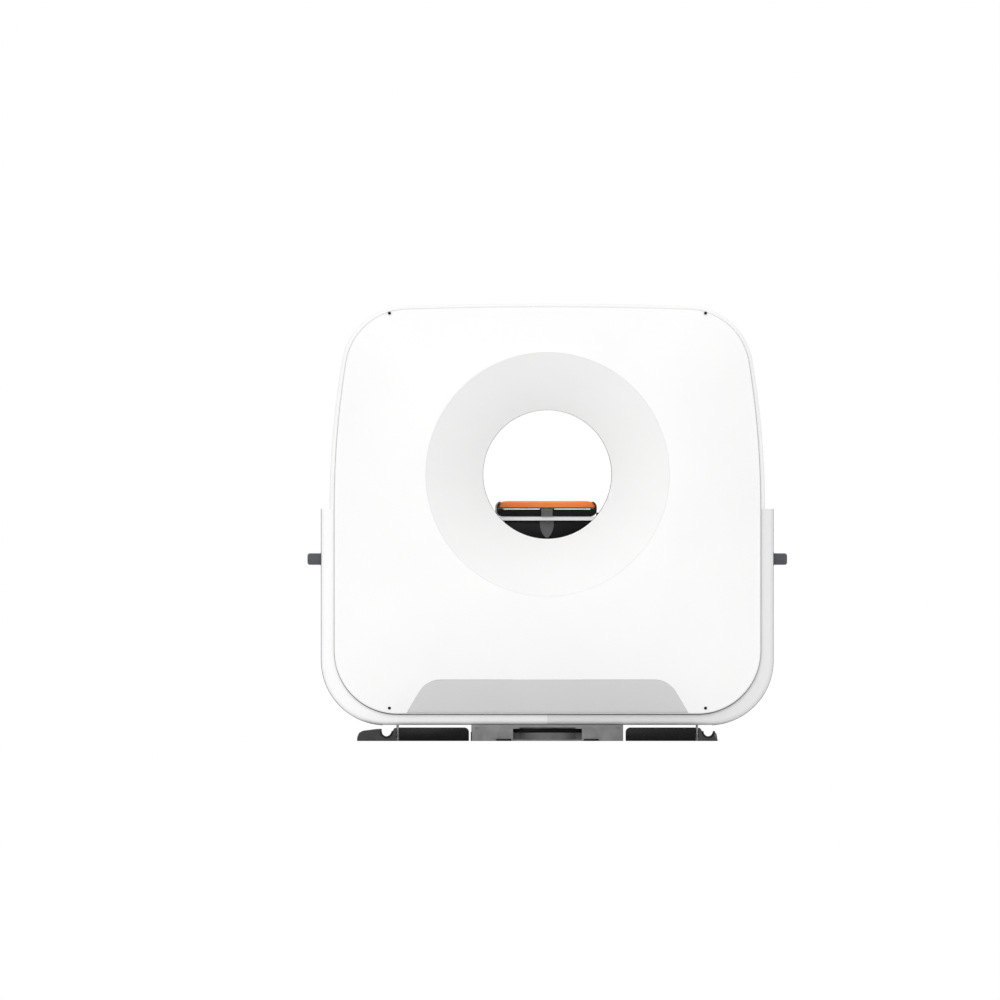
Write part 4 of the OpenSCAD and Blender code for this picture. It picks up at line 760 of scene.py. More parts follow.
def geometry_tree(name, inputs):
    """A geometry node tree with named inputs."""
    tree = bpy.data.node_groups.new(name, "GeometryNodeTree")
    tree.interface.new_socket("Geometry", in_out="INPUT", socket_type="NodeSocketGeometry")
    for label, (kind, value) in inputs.items():
        socket = tree.interface.new_socket(label, in_out="INPUT", socket_type=kind)
        if value is not None:
            socket.default_value = value
    tree.interface.new_socket("Geometry", in_out="OUTPUT", socket_type="NodeSocketGeometry")
    nodes = Nodes(tree)
    return nodes, nodes.add("NodeGroupInput").outputs


def tree_end(nodes, instances, material):
    """Realizes the instances, gives them their material and ends the tree."""
    real = nodes.add("GeometryNodeRealizeInstances", {0: instances}).outputs[0]
    dressed = nodes.add("GeometryNodeSetMaterial", {"Geometry": real, "Material": material}).outputs[0]
    nodes.add("NodeGroupOutput", {0: dressed})
    return nodes.tree


def grown(name, tree, values, mesh, node, replaces=False, slot=None):
    """Runs a geometry node tree on a mesh and keeps the result as a plain piece."""
    obj = link(name + "_source", mesh)
    modifier = obj.modifiers.new("Nodes", "NODES")
    modifier.node_group = tree
    sockets = {i.name: i.identifier for i in tree.interface.items_tree if i.in_out == "INPUT"}
    for label, value in values.items():
        modifier[sockets[label]] = value
    made = finished(obj)
    bpy.data.objects.remove(obj)
    if not len(made.polygons):
        raise RuntimeError(f"the tree for {name} made nothing")
    return settle(name, made, node, 40.0, replaces, slot)


def screw_tree(material):
    """Socket head screws on points, all tilted the same way, with a hexagon socket in a chamfered head."""
    nodes, inputs = geometry_tree("socket head screws", {
        "Radius": ("NodeSocketFloat", 0.007), "Length": ("NodeSocketFloat", 0.02),
        "Chamfer": ("NodeSocketFloat", 0.001), "Socket": ("NodeSocketFloat", 0.0035),
        "Depth": ("NodeSocketFloat", 0.004), "Tilt": ("NodeSocketVector", (math.pi / 2, 0.0, 0.0))})
    straight = nodes.math("SUBTRACT", inputs["Length"], inputs["Chamfer"])
    body = nodes.add("GeometryNodeMeshCylinder", {
        "Vertices": 40, "Radius": inputs["Radius"], "Depth": straight}).outputs["Mesh"]
    sunk = nodes.add("ShaderNodeCombineXYZ", {2: nodes.math("MULTIPLY", straight, -0.5)}).outputs[0]
    body = nodes.add("GeometryNodeTransform", {"Geometry": body, "Translation": sunk}).outputs[0]
    narrow = nodes.math("SUBTRACT", inputs["Radius"], inputs["Chamfer"])
    top = nodes.add("GeometryNodeMeshCone", {
        "Vertices": 40, "Radius Top": narrow, "Radius Bottom": inputs["Radius"],
        "Depth": inputs["Chamfer"]}).outputs["Mesh"]
    head = nodes.add("GeometryNodeMeshBoolean", {1: body}, operation="UNION", solver="EXACT")
    nodes.tree.links.new(top, head.inputs[1])
    key = nodes.add("GeometryNodeMeshCylinder", {
        "Vertices": 6, "Radius": inputs["Socket"], "Depth": nodes.math("MULTIPLY", inputs["Depth"], 2.0)}).outputs[0]
    hollow = nodes.add(
        "GeometryNodeMeshBoolean", {0: head.outputs[0], 1: key}, operation="DIFFERENCE", solver="EXACT")
    turned_head = nodes.add("GeometryNodeTransform", {
        "Geometry": hollow.outputs[0], "Rotation": inputs["Tilt"]}).outputs[0]
    placed = nodes.add("GeometryNodeInstanceOnPoints", {"Points": inputs[0], "Instance": turned_head}).outputs[0]
    return tree_end(nodes, placed, material)


def block_tree(name, material):
    """Small blocks on points."""
    nodes, inputs = geometry_tree(name, {"Size": ("NodeSocketVector", (0.01, 0.01, 0.01))})
    block = nodes.add("GeometryNodeMeshCube", {"Size": inputs["Size"]}).outputs["Mesh"]
    placed = nodes.add("GeometryNodeInstanceOnPoints", {"Points": inputs[0], "Instance": block}).outputs[0]
    return tree_end(nodes, placed, material)


def stitch_tree(material):
    """Stitches laid end to end along a line of edges."""
    nodes, inputs = geometry_tree("stitches along a seam", {
        "Spacing": ("NodeSocketFloat", 0.009), "Length": ("NodeSocketFloat", 0.006),
        "Radius": ("NodeSocketFloat", 0.0007)})
    line = nodes.add("GeometryNodeMeshToCurve", {0: inputs[0]}).outputs[0]
    spaced = nodes.add("GeometryNodeCurveToPoints", {"Curve": line, "Length": inputs["Spacing"]}, mode="LENGTH")
    thread = nodes.add("GeometryNodeMeshCylinder", {
        "Vertices": 6, "Radius": inputs["Radius"], "Depth": inputs["Length"]}).outputs["Mesh"]
    placed = nodes.add("GeometryNodeInstanceOnPoints", {
        "Points": spaced.outputs["Points"], "Instance": thread, "Rotation": spaced.outputs["Rotation"]}).outputs[0]
    return tree_end(nodes, placed, material)


# Gantry


def face_points(side):
    """Rows of a closed face cover, from its rim over the face, round the edge and back inside."""
    c = covers()
    turn = np.linspace(-math.pi, math.pi, COLUMNS, endpoint=False)
    edge = face_reach(c.edge_round, turn)
    rim = c.flare_r + c.seat
    out = np.stack([np.sin(turn), -np.cos(turn)], 1)

    def row(r, y):
        at = (0, AXIS_Z) + out * np.reshape(r, (-1, 1))
        return in_plane(at, y)

    def over_face(t, deep):
        r = rim + (edge - rim) * t
        at = (0, AXIS_Z) + out * r[:, None]
        return in_plane(at, face_depth(at[:, 0], at[:, 1], deep))

    shares = [0.006, 0.015, 0.03, 0.05, *np.linspace(0.075, 1, 27)]
    rows = [row(np.full(COLUMNS, rim), over_face(0, c.rim_lip)[:, 1])]
    rows.append(row(np.full(COLUMNS, rim + 0.3 * c.rim_lip), over_face(0, 0.3 * c.rim_lip)[:, 1]))
    rows += [over_face(t, 0) for t in shares]
    for a in np.radians([15, 30, 45, 60, 75, 90]):
        y = -c.edge_y + c.edge_round * (1 - math.cos(a))
        rows.append(row(face_reach(c.edge_round * (1 - math.sin(a)), turn), y))
    rows.append(row(face_reach(0, turn), -c.band_y - c.seat))
    rows.append(row(face_reach(c.skin, turn), -c.band_y - c.seat))
    rows.append(row(face_reach(c.skin, turn), -c.edge_y + c.edge_round))
    rows += [over_face(t, c.skin) for t in (0.985, 0.8, 0.6, 0.4, 0.25, 0.12, 0.04, 0)]
    points = stack(rows)
    return (points if side < 0 else flipped(points)), grid_faces(len(rows), COLUMNS, True, True)


def kick_outline(k):
    """Outline of a kick panel, grown by k: lower right corner, slanted side and round corner, then the left half."""
    c = covers()
    r = c.kick_corner_r + k
    slant = math.degrees(c.kick_slant)
    right = arc((c.kick_flat_w, c.kick_top - c.kick_corner_r), r, slant, 90, 24)
    low = c.kick_bottom - k
    foot = (right[0][0] + (right[0][1] - low) * math.tan(c.kick_slant), low)
    right = np.concatenate([[foot], right])
    return np.concatenate([right, right[::-1] * (-1, 1)])


def kick_rows(k, across):
    """Lines across a kick panel from its lower edge to its top edge, grown by k."""
    outline = kick_outline(k)
    right = outline[:len(outline) // 2]
    rise = [right[0] + (right[1] - right[0]) * t for t in np.linspace(0, 1, 9)[:-1]]
    share = np.linspace(-1, 1, across)
    return [np.stack([share * w, np.full(across, z)], 1) for w, z in [*rise, *right[1:]]]


def kick_points(side):
    """A kick panel that follows the face cover's surface, with rounded edges and a flat inner face."""
    c = covers()
    across = 121
    layers = [(-c.lip, 0.0), (-0.3 * c.lip, 0.3 * c.lip), (0.0, c.lip), (0.0, c.skin)]
    grids = []
    for k, deep in layers:
        rows = stack(kick_rows(k, across))
        grids.append(in_plane(rows, face_depth(rows[:, 0], rows[:, 1], deep)))
    per = len(grids[0])
    lines = per // across
    rim = (
        list(range(across)) + [i * across + across - 1 for i in range(1, lines)]
        + [(lines - 1) * across + j for j in range(across - 2, -1, -1)]
        + [i * across for i in range(lines - 2, 0, -1)])
    faces = grid_faces(lines, across, False, False)
    faces += [tuple(reversed(f)) for f in grid_faces(lines, across, False, False, base=3 * per)]
    for layer in range(3):
        a, b = layer * per, (layer + 1) * per
        for i, at in enumerate(rim):
            after = rim[(i + 1) % len(rim)]
            faces.append((a + at, a + after, b + after, b + at))
    points = stack(grids)
    used = sorted({v for f in faces for v in f})
    renumber = {v: i for i, v in enumerate(used)}
    points = points[used]
    return (points if side < 0 else flipped(points)), [tuple(renumber[v] for v in f) for f in faces]


def shell_rows(loops, seat_edge):
    """Rows of a shell round the gantry: rear band, rounding, side, front band, then back inside."""
    c = covers()
    steps = np.radians(np.linspace(0, 90, len(loops) // 2))
    count = len(steps)
    fall = 1 - np.sin(steps)
    inside = -c.band_y + c.skin
    rear = [in_plane(seat_edge, -c.band_y)]
    rear += [in_plane(loops[i], -c.band_y + c.band_round * fall[i]) for i in range(count - 1, -1, -1)]
    back = [in_plane(loops[count + i], inside + (c.band_round - c.skin) * fall[i]) for i in range(count)]
    back.append(in_plane(seat_edge, inside))
    rear_front = [flipped(row) for row in reversed(rear)]
    back_front = [flipped(row) for row in reversed(back)]
    return rear + rear_front + back_front + back


def insets():
    """Insets of a shell's rounding, outside and then inside, from the side to the band."""
    c = covers()
    turn = np.radians(np.linspace(0, 90, 9))
    outside = c.band_round * (1 - np.cos(turn))
    return [*outside, *(c.skin + (c.band_round - c.skin) * (1 - np.cos(turn)))]


def strip_points(rows):
    """A closed shell whose rows wrap and whose columns end in flat faces."""
    m, n = len(rows), len(rows[0])
    faces = grid_faces(m, n, True, False)
    for i in range(m // 2 - 1):
        a, b, p, d = i * n, (i + 1) * n, (m - 2 - i) * n, (m - 1 - i) * n
        faces.append((a, b, p, d))
        faces.append((a + n - 1, d + n - 1, p + n - 1, b + n - 1))
    return stack(rows), faces


def arch(w, side_r, corner_r, top, k):
    """Both halves of an outline above the seam, from right to left."""
    half = half_top(w, side_r, corner_r, top, k)
    return np.concatenate([half, half[-2::-1] * (-1, 1)])


def skirt_path(w, corner_r, bottom, k, inside):
    """Lower right half of an outline, up to the seam, where an inner line turns in below the ledge."""
    c = covers()
    low = half_low(w, corner_r, bottom, k)
    low[:, 0] = np.maximum(low[:, 0], c.seat / 2)
    top = c.seam_z - c.seat
    low[-1, 1] = top - c.skin
    end_x = min(low[-1, 0], c.upper_w - c.ledge_in) if inside else low[-1, 0]
    return np.concatenate([low, [(end_x, top)]])


def skirt_points(side):
    """A side skirt with its ledge under the upper cover."""
    c = covers()
    steps = insets()
    half = len(steps) // 2
    loops = [
        skirt_path(c.skirt_w, c.skirt_corner_r, c.skirt_bottom, k, i >= half) for i, k in enumerate(steps)]
    edge = skirt_path(c.face_w, c.face_low_corner_r, c.face_bottom, c.seat_w, False)
    points, faces = strip_points(shell_rows(loops, edge))
    return points * (side, 1, 1), faces


def cone_profile():
    """Closed profile of a bore cone: rounded lip, cone, throat, wall and flange."""
    c = covers()
    slope = (c.flare_r - c.bore_r) / (c.rim_y - c.throat_y)
    wall = c.skin * math.sqrt(1 + slope * slope)
    back = HIGH["rear_bore_cone"].x
    flange_y = -c.rim_y + c.flange_in
    return fillet([
        (c.flare_r, -c.rim_y), (c.bore_r, -c.throat_y), (c.bore_r + wall, -c.throat_y),
        (c.bore_r + wall + slope * (-flange_y - c.skin - c.throat_y), flange_y + c.skin),
        (back, flange_y + c.skin), (back, flange_y), (c.flare_r, flange_y)],
        [c.rim_lip, c.throat_lip, 0, 0, 0, 0, 0])


def tube_profile():
    """Closed profile of a bore tube behind the scan plane."""
    c = covers()
    return fillet([
        (c.bore_r, -c.throat_y), (c.bore_r, -c.window_y), (c.bore_r + c.skin, -c.window_y),
        (c.bore_r + c.skin, -c.throat_y)], [c.throat_lip, c.throat_lip, 0, 0])


class SCANNER_OT_finishes(bpy.types.Operator):
    """Make the finishes and give them to the nodes of the frame"""
    bl_idname = "scanner.finishes"
    bl_label = "Finishes"

    def execute(self, context):
        FINISH.update(make_finishes())
        for name, obj in frame["nodes"].items():
            for slot in obj.material_slots:
                slot.material = FINISH[SLOT[name]]
        return {"FINISHED"}


class SCANNER_OT_face_covers(bpy.types.Operator):
    """Make the moulded rear and front face covers with their openings"""
    bl_idname = "scanner.face_covers"
    bl_label = "Face covers"

    def execute(self, context):
        c, d = covers(), details()
        openings = (
            ("front_display", c.display_r), ("control_panel_left", c.panel_r), ("control_panel_right", c.panel_r))
        for side, end in ENDS:
            obj = piece(f"{end}_cover_moulding", *face_points(side), f"{end}_cover")
            deep = sorted((side * (c.rim_y + 0.01), side * (c.edge_y - c.edge_round - c.skin - 0.002)))
            cut(obj, *prism(kick_outline(c.reveal), *deep))
            for x in (-d.screw_x, d.screw_x):
                for z in (d.screw_low, d.screw_high):
                    hole = arc((x, z), d.screw_r + c.reveal / 2, 0, 360, 32)[:-1]
                    cut(obj, *prism(hole, *sorted((side * c.rim_y, side * (c.band_y + 0.002)))))
            for node, r in openings if side > 0 else ():
                low, high = LOW[node], HIGH[node]
                window = box_outline(low.x, high.x, low.z, high.z, r, c.reveal)
                cut(obj, *prism(window, c.band_y, c.rim_y + 0.01))
            shade(obj)
        return {"FINISHED"}


def box_outline(x0, x1, z0, z1, r, k=0.0, n=12):
    """A rectangle with round corners, grown by k."""
    corners = [((x1 - r, z0 + r), -90), ((x1 - r, z1 - r), 0), ((x0 + r, z1 - r), 90), ((x0 + r, z0 + r), 180)]
    return np.concatenate([arc(centre, r + k, a, a + 90, n) for centre, a in corners])


class SCANNER_OT_kick_panels(bpy.types.Operator):
    """Make the grey kick panels that follow the face covers"""
    bl_idname = "scanner.kick_panels"
    bl_label = "Kick panels"

    def execute(self, context):
        for side, end in ENDS:
            piece(f"{end}_kick_panel_moulding", *kick_points(side), f"{end}_kick_panel")
        return {"FINISHED"}


class SCANNER_OT_upper_cover(bpy.types.Operator):
    """Make the moulded arch over both sides and the top"""
    bl_idname = "scanner.upper_cover"
    bl_label = "Upper cover"

    def execute(self, context):
        c = covers()
        loops = [arch(c.upper_w, c.upper_side_r, c.upper_corner_r, c.upper_top, k) for k in insets()]
        edge = arch(c.face_w, c.face_side_r, c.face_corner_r, c.face_top, c.seat_w)
        piece("upper_cover_moulding", *strip_points(shell_rows(loops, edge)), "upper_cover")
        return {"FINISHED"}


class SCANNER_OT_side_skirts(bpy.types.Operator):
    """Make the two side skirts, cut out for the slab"""
    bl_idname = "scanner.side_skirts"
    bl_label = "Side skirts"

    def execute(self, context):
        c = covers()
        slab = HIGH["base_frame"]
        for side, name in SIDES:
            obj = piece(f"side_skirt_{name}_moulding", *skirt_points(side), f"side_skirt_{name}")
            wide = c.slab_w + c.reveal
            window = [(-0.001, 0.0), (wide, 0.0), (wide, slab.z), (-0.001, slab.z)]
            if side < 0:
                window = [(-x, z) for x, z in window]
            cut(obj, *prism(window, -c.slab_y - c.reveal, c.slab_y + c.reveal))
            shade(obj)
        return {"FINISHED"}


class SCANNER_OT_bore_liners(bpy.types.Operator):
    """Make the bore's cones, tubes and scan window"""
    bl_idname = "scanner.bore_liners"
    bl_label = "Bore liners"

    def execute(self, context):
        c = covers()
        centre = (0, 0, AXIS_Z)
        for side, end in ENDS:
            piece(f"{end}_bore_cone_moulding", *turned(cone_profile(), centre, (0, -side, 0)), f"{end}_bore_cone")
        both = [turned(tube_profile(), centre, (0, side, 0)) for side in (1, -1)]
        count = len(both[0][0])
        faces = both[0][1] + [tuple(v + count for v in f) for f in both[1][1]]
        piece("bore_tubes_moulding", stack([both[0][0], both[1][0]]), faces, "bore_tubes")
        outside = c.bore_r + WINDOW_WALL
        ring = [(c.bore_r, -c.window_y), (c.bore_r, c.window_y), (outside, c.window_y), (outside, -c.window_y)]
        piece("scan_window_ring", *turned(fillet(ring, [c.window_lip] * 4, 2), centre, (0, 1, 0)), "scan_window")
        return {"FINISHED"}


def ribbon(outer, inner, y0, y1):
    """Points and faces of a strip between two open lines of the XZ plane, from y0 to y1."""
    n = len(outer)
    rows = [in_plane(outer, y0), in_plane(outer, y1), in_plane(inner, y1), in_plane(inner, y0)]
    ends = [tuple(i * n for i in range(4)), tuple(i * n + n - 1 for i in range(3, -1, -1))]
    return stack(rows), grid_faces(4, n, True, False) + ends


class SCANNER_OT_seals(bpy.types.Operator):
    """Lay the black strips under the face covers, which paint the shadow of the covers' edges on the band, the
    rubber beads along the skirts and the seals in the bore's throat
    """
    bl_idname = "scanner.seals"
    bl_label = "Seals"

    def execute(self, context):
        c, d = covers(), details()
        # Painted shadow: the strip under each face cover shows its full width along the lower edge and narrows up
        # the sides to the top, as the shadow of the cover's edge does.
        lines = [face_half(-k) for k in (d.seal_w, c.seat)]
        heights = [c.face_bottom, c.face_bottom + 0.2, AXIS_Z, c.face_top]
        share = np.interp(lines[1][:, 1], heights, [1, 0.3, 0.25, 0.08])
        lines[0] = lines[1] + (lines[0] - lines[1]) * share[:, None]
        lines = [np.concatenate([line, line[-2:0:-1] * (-1, 1)]) for line in lines]
        for side, end in ENDS:
            near, far = sorted((side * (c.band_y + c.seat), side * (c.band_y + c.seat + d.seal_t)))
            rows = [in_plane(line, y) for line, y in zip((*lines, *lines[::-1]), (near, near, far, far))]
            faces = grid_faces(4, len(lines[0]), True, True)
            trim(f"{end}_cover_shadow_strip", stack(rows), faces, f"{end}_cover", "black_plastic")
        lines = [half_low(c.skirt_w, c.skirt_corner_r, c.skirt_bottom, -k) for k in (d.bead, c.seat)]
        points, faces = ribbon(*[line[line[:, 0] > c.slab_w + d.bead_start] for line in lines], -d.seal_t, d.seal_t)
        for side, name in SIDES:
            trim(f"skirt_bead_{name}", points * (side, 1, 1), faces, f"side_skirt_{name}", "black_rubber")
        low, high, wide = c.bore_r - d.bore_seal, c.bore_r - c.seat, d.bore_seal_w
        ring = [(low, -wide), (low, wide), (high, wide), (high, -wide)]
        for side, end in ENDS:
            at = (0, side * (c.throat_y - d.bore_seal_in), AXIS_Z)
            trim(f"{end}_bore_seal", *turned(ring, at, (0, 1, 0)), "bore_tubes", "black_plastic")
        return {"FINISHED"}


class SCANNER_OT_screws(bpy.types.Operator):
    """Set the socket head screws into both face covers"""
    bl_idname = "scanner.screws"
    bl_label = "Cover screws"

    def execute(self, context):
        c, d = covers(), details()
        tree = screw_tree(FINISH["black_screw"])
        for side, end in ENDS:
            face = side * (c.edge_y + d.screw_proud - d.screw_chamfer)
            points = [(x, face, z) for x in (-d.screw_x, d.screw_x) for z in (d.screw_low, d.screw_high)]
            values = {
                "Radius": d.screw_r, "Length": c.edge_y + d.screw_proud - c.band_y - c.seat,
                "Chamfer": d.screw_chamfer, "Socket": d.screw_key, "Depth": d.socket_deep,
                "Tilt": (-side * math.pi / 2, 0.0, 0.0)}
            grown(f"cover_screws_{end}", tree, values, built("points", points), "cover_screws", replaces=True)
        return {"FINISHED"}


class SCANNER_OT_buffers(bpy.types.Operator):
    """Turn the rubber side buffers"""
    bl_idname = "scanner.buffers"
    bl_label = "Side buffers"

    def execute(self, context):
        low, high, d = LOW["side_buffers"], HIGH["side_buffers"], details()
        z = (low.z + high.z) / 2
        seat_x = covers().skirt_w + covers().seat
        long = high.x - seat_x
        r, flange_r, flange = d.buffer_r, (high.z - low.z) / 2, d.buffer_flange
        profile = fillet([
            (0, 0), (flange_r, 0), (flange_r, flange), (r, flange + 0.001), (r, long), (0, long)],
            [0, 0, 0.0015, 0.001, d.buffer_tip, 0], 8)
        for side, name in SIDES:
            points, faces = turned(profile, (side * seat_x, 0, z), (side, 0, 0), 72)
            piece(f"side_buffer_{name}", points, faces, "side_buffers")
        return {"FINISHED"}


class SCANNER_OT_base(bpy.types.Operator):
    """Round the edges of the base block, feet, shims and levelling bolts, and line the feet's notches"""
    bl_idname = "scanner.base"
    bl_label = "Base and feet"

    def execute(self, context):
        softened("base_frame", 0.0015)
        # Painted shade: the floor_shims node also holds the black linings at the back of the base block's recesses;
        # black plastic makes them a dark sheet for the shade in the deep recesses.
        softened("floor_shims", 0.0006, slot="black_plastic")
        softened("foot_covers", 0.003)
        softened("anchor_feet", 0.0025, angle=50)
        softened("levelling_bolts", 0.0006, slot="white_aluminium")
        d, y = details(), LOW["anchor_feet"].y
        middle = d.notch_low + d.notch_r
        for side, name in SIDES:
            bends = []
            for r in (d.notch_r + d.collar_w, d.notch_r):
                bend = arc((side * d.notch_x, middle), r, 180, 360, 24)
                top = middle + d.collar_rise
                bends.append(np.concatenate([[(bend[0][0], top)], bend, [(bend[-1][0], top)]]))
            collar = ribbon(*bends, y - d.collar_t, y - covers().seat)
            trim(f"anchor_collar_{name}", *collar, "anchor_feet", "black_plastic")
        return {"FINISHED"}


class SCANNER_OT_controls(bpy.types.Operator):
    """Make the display, the control panels, their keys and the emergency stops"""
    bl_idname = "scanner.controls"
    bl_label = "Front controls"

    def execute(self, context):
        softened("front_display", 0.004, segments=4)
        low, high = LOW["front_display"], HIGH["front_display"]
        inset = details().glass_inset
        glass = box_outline(low.x + inset, high.x - inset, low.z + inset, high.z - inset, 0.008)
        trim("front_display_glass", *prism(glass, high.y - 0.004, high.y - 0.0002), "front_display")
        for _, name in SIDES:
            softened(f"control_panel_{name}", 0.003, segments=4)
            for i in (1, 2):
                node = f"key_{name}_{i}"
                low, high = LOW[node], HIGH[node]
                r, long = (high.x - low.x) / 2, high.y - low.y
                profile = fillet([(0, 0), (r, 0), (r, long), (0.6 * r, long), (0, long - 0.0008)],
                                 [0, 0.0005, 0.0015, 0.004, 0])
                at = ((low.x + high.x) / 2, low.y, (low.z + high.z) / 2)
                piece(node + "_cap", *turned(profile, at, (0, 1, 0), 48), node)
            softened(f"emergency_stop_{name}", 0.0006, angle=50)
        return {"FINISHED"}


class SCANNER_OT_works(bpy.types.Operator):
    """Set the bolts into the bearing's outer race"""
    bl_idname = "scanner.works"
    bl_label = "Bearing bolts"

    def execute(self, context):
        d = details()
        turn = np.linspace(0, 2 * math.pi, 37)[:-1]
        face = HIGH["outer_race"].y + d.bolt_high
        ring = [(d.bolt_ring * math.cos(a), face, AXIS_Z + d.bolt_ring * math.sin(a)) for a in turn]
        values = {"Radius": d.bolt_r, "Length": d.bolt_high, "Chamfer": d.bolt_chamfer, "Socket": d.bolt_key,
                  "Depth": d.bolt_deep, "Tilt": (-math.pi / 2, 0.0, 0.0)}
        tree = screw_tree(FINISH["black_screw"])
        grown("bearing_bolts", tree, values, built("points", ring), "outer_race", slot="black_screw")
        return {"FINISHED"}


# Table


class SCANNER_OT_table(bpy.types.Operator):
    """Finish the table's base, telescoping covers, frame, caps, hooks and pedals"""
    bl_idname = "scanner.table"
    bl_label = "Patient table"

    def execute(self, context):
        for node in ("table_base_cover", "middle_cover", "top_cover"):
            softened(node, 0.0015, angle=50)
        for node, width in (
                ("table_base", 0.003), ("table_frame", 0.003), ("frame_end_caps", 0.0015),
                ("end_cap_tongue", 0.0015), ("strap_hooks", 0.0008), ("head_socket", 0.0015)):
            softened(node, width)
        d = details()
        ribs = block_tree("pedal ribs", FINISH["black_plastic"])
        for side, name in SIDES:
            node = f"pedal_{name}"
            softened(node, 0.002)
            rows = np.arange(LOW[node].y + 0.03, HIGH[node].y - 0.008, d.rib_step)
            points = built("points", [(side * d.pedal_x, y, d.pedal_top) for y in rows])
            grown(f"pedal_ribs_{name}", ribs, {"Size": tuple(d.rib_size)}, points, node)
        return {"FINISHED"}


def rim_centre():
    """Centre of the right rim's curl, in the section."""
    p = pad()
    return np.array([HIGH["cradle_tray"].x - p.rim_r, LOW["mattress"].z + p.rim_up])


# The tray's lower flank: distances in from its side and up from its underside
TRAY_FLANK = (
    (0.027, 0), (0.0198, 0.0017), (0.0121, 0.0057), (0.006, 0.0112), (0.0027, 0.0162), (0.0006, 0.0212),
    (0, 0.0252))


def tray_half():
    """Right half of the tray's section, from the underside round the curled rim to the bed."""
    p = pad()
    wide, under, bed = HIGH["cradle_tray"].x, LOW["cradle_tray"].z, LOW["mattress"].z - covers().seat
    centre, turn = rim_centre(), math.degrees(p.rim_turn)
    flank = [(wide - across, under + up) for across, up in TRAY_FLANK]
    outer = arc(centre, p.rim_r, 0, turn, 14)
    tip = arc(centre + (p.rim_r - p.rim_t / 2) * np.array([math.cos(p.rim_turn), math.sin(p.rim_turn)]),
              p.rim_t / 2, turn, turn + 180, 6)[1:-1]
    inner = arc(centre, p.rim_r - p.rim_t, turn, -8, 14)
    return np.concatenate([flank, outer, tip, inner, [(inner[-1][0] - 0.0012, bed)]])


class SCANNER_OT_cradle(bpy.types.Operator):
    """Make the carbon cradle tray with its curled rims, the bright strips on its head edge that paint a highlight
    along it, and the socket plugs
    """
    bl_idname = "scanner.cradle"
    bl_label = "Cradle tray"

    def execute(self, context):
        low, high, socket = LOW["cradle_tray"], HIGH["cradle_tray"], "head_socket"
        section = np.concatenate([half := tray_half(), half[::-1] * (-1, 1)])
        tray = piece("cradle_tray_shell", *prism(section, low.y, high.y), "cradle_tray")
        bevelled(tray, pad().tray_edge, 60)
        shade(tray, 35.0)
        d, seat = details(), covers().seat
        top = LOW["mattress"].z - d.strip_down
        middle = (LOW[socket].z + HIGH[socket].z) / 2
        plug = fillet([(0, 0), (d.plug_r, 0), (d.plug_r, d.plug_len), (0, d.plug_len)], [0, 0.0008, 0, 0], 3)
        for side, name in SIDES:
            # Painted highlight: bright steel strips along the tray's head edge, standing in for the highlight that
            # runs along it.
            near, far = sorted((side * (HIGH[socket].x + d.strip_in), side * (high.x - d.strip_out)))
            outline = box_outline(near, far, top - d.edge_strip, top, 0.0012, n=4)
            strip = prism(outline, low.y - seat - d.strip_t, low.y - seat)
            trim(f"tray_highlight_strip_{name}", *strip, "cradle_tray", "bright_steel")
            at = (side * d.plug_x, LOW[socket].y + seat, middle)
            trim(f"socket_plug_{name}", *turned(plug, at, (0, 1, 0), 32), socket)
        return {"FINISHED"}


# Mattress


def pad_mesh(low, high):
    """The mattress before it is filled: wide upper shoulders, small lower edges and rounded ends."""
    p = pad()
    half = np.concatenate([
        arc((high.x - p.small_r, low.z + p.small_r), p.small_r, -90, 0, 4),
        arc((high.x - p.shoulder, high.z - p.shoulder), p.shoulder, 0, 90, 10)])
    section = np.concatenate([half, half[::-1] * (-1, 1)])
    mesh = built("pad", *prism(section, low.y, high.y))
    work = bmesh.new()
    work.from_mesh(mesh)
    ends = [e for f in work.faces if len(f.verts) > 4 for e in f.edges]
    bmesh.ops.bevel(work, geom=ends, offset=p.rounding, segments=5, profile=0.5, affect="EDGES", clamp_overlap=True)
    work.to_mesh(mesh)
    work.free()
    return mesh


def coordinates(mesh):
    """A mesh's vertex places as an array."""
    co = np.zeros(len(mesh.vertices) * 3, np.float32)
    mesh.vertices.foreach_get("co", co)
    return co.reshape(-1, 3)


def move_to(mesh, co):
    """Puts a mesh's vertices at new places."""
    mesh.vertices.foreach_set("co", co.astype(np.float32).ravel())
    mesh.update()


# Settings of the simulated cloth, and the last frame of its run
CLOTH = {
    "quality": 4, "mass": 0.25, "tension_stiffness": 25, "compression_stiffness": 25, "shear_stiffness": 15,
    "bending_stiffness": 2, "use_pressure": True, "uniform_pressure_force": 4}
LAST_FRAME = 20


def inflate(obj, floor_z):
    """Fills a closed pad by cloth pressure, with its underside held flat and each point's move capped."""
    p = pad()
    start = coordinates(obj.data)
    held = obj.vertex_groups.new(name="underside")
    held.add([int(i) for i in np.nonzero(start[:, 2] < floor_z + p.held)[0]], 1.0, "REPLACE")
    cloth = obj.modifiers.new("Cloth", "CLOTH")
    for key, value in CLOTH.items():
        setattr(cloth.settings, key, value)
    cloth.settings.vertex_group_mass = held.name
    cloth.settings.effector_weights.gravity = 0
    cloth.collision_settings.use_collision = False
    scene = bpy.context.scene
    for number in range(1, LAST_FRAME + 1):
        scene.frame_set(number)
    bake(obj)
    step = coordinates(obj.data) - start
    far = np.linalg.norm(step, axis=1, keepdims=True)
    move_to(obj.data, start + step * np.minimum(1, p.swell / np.maximum(far, 1e-9)))
    obj.vertex_groups.clear()
    scene.frame_set(1)


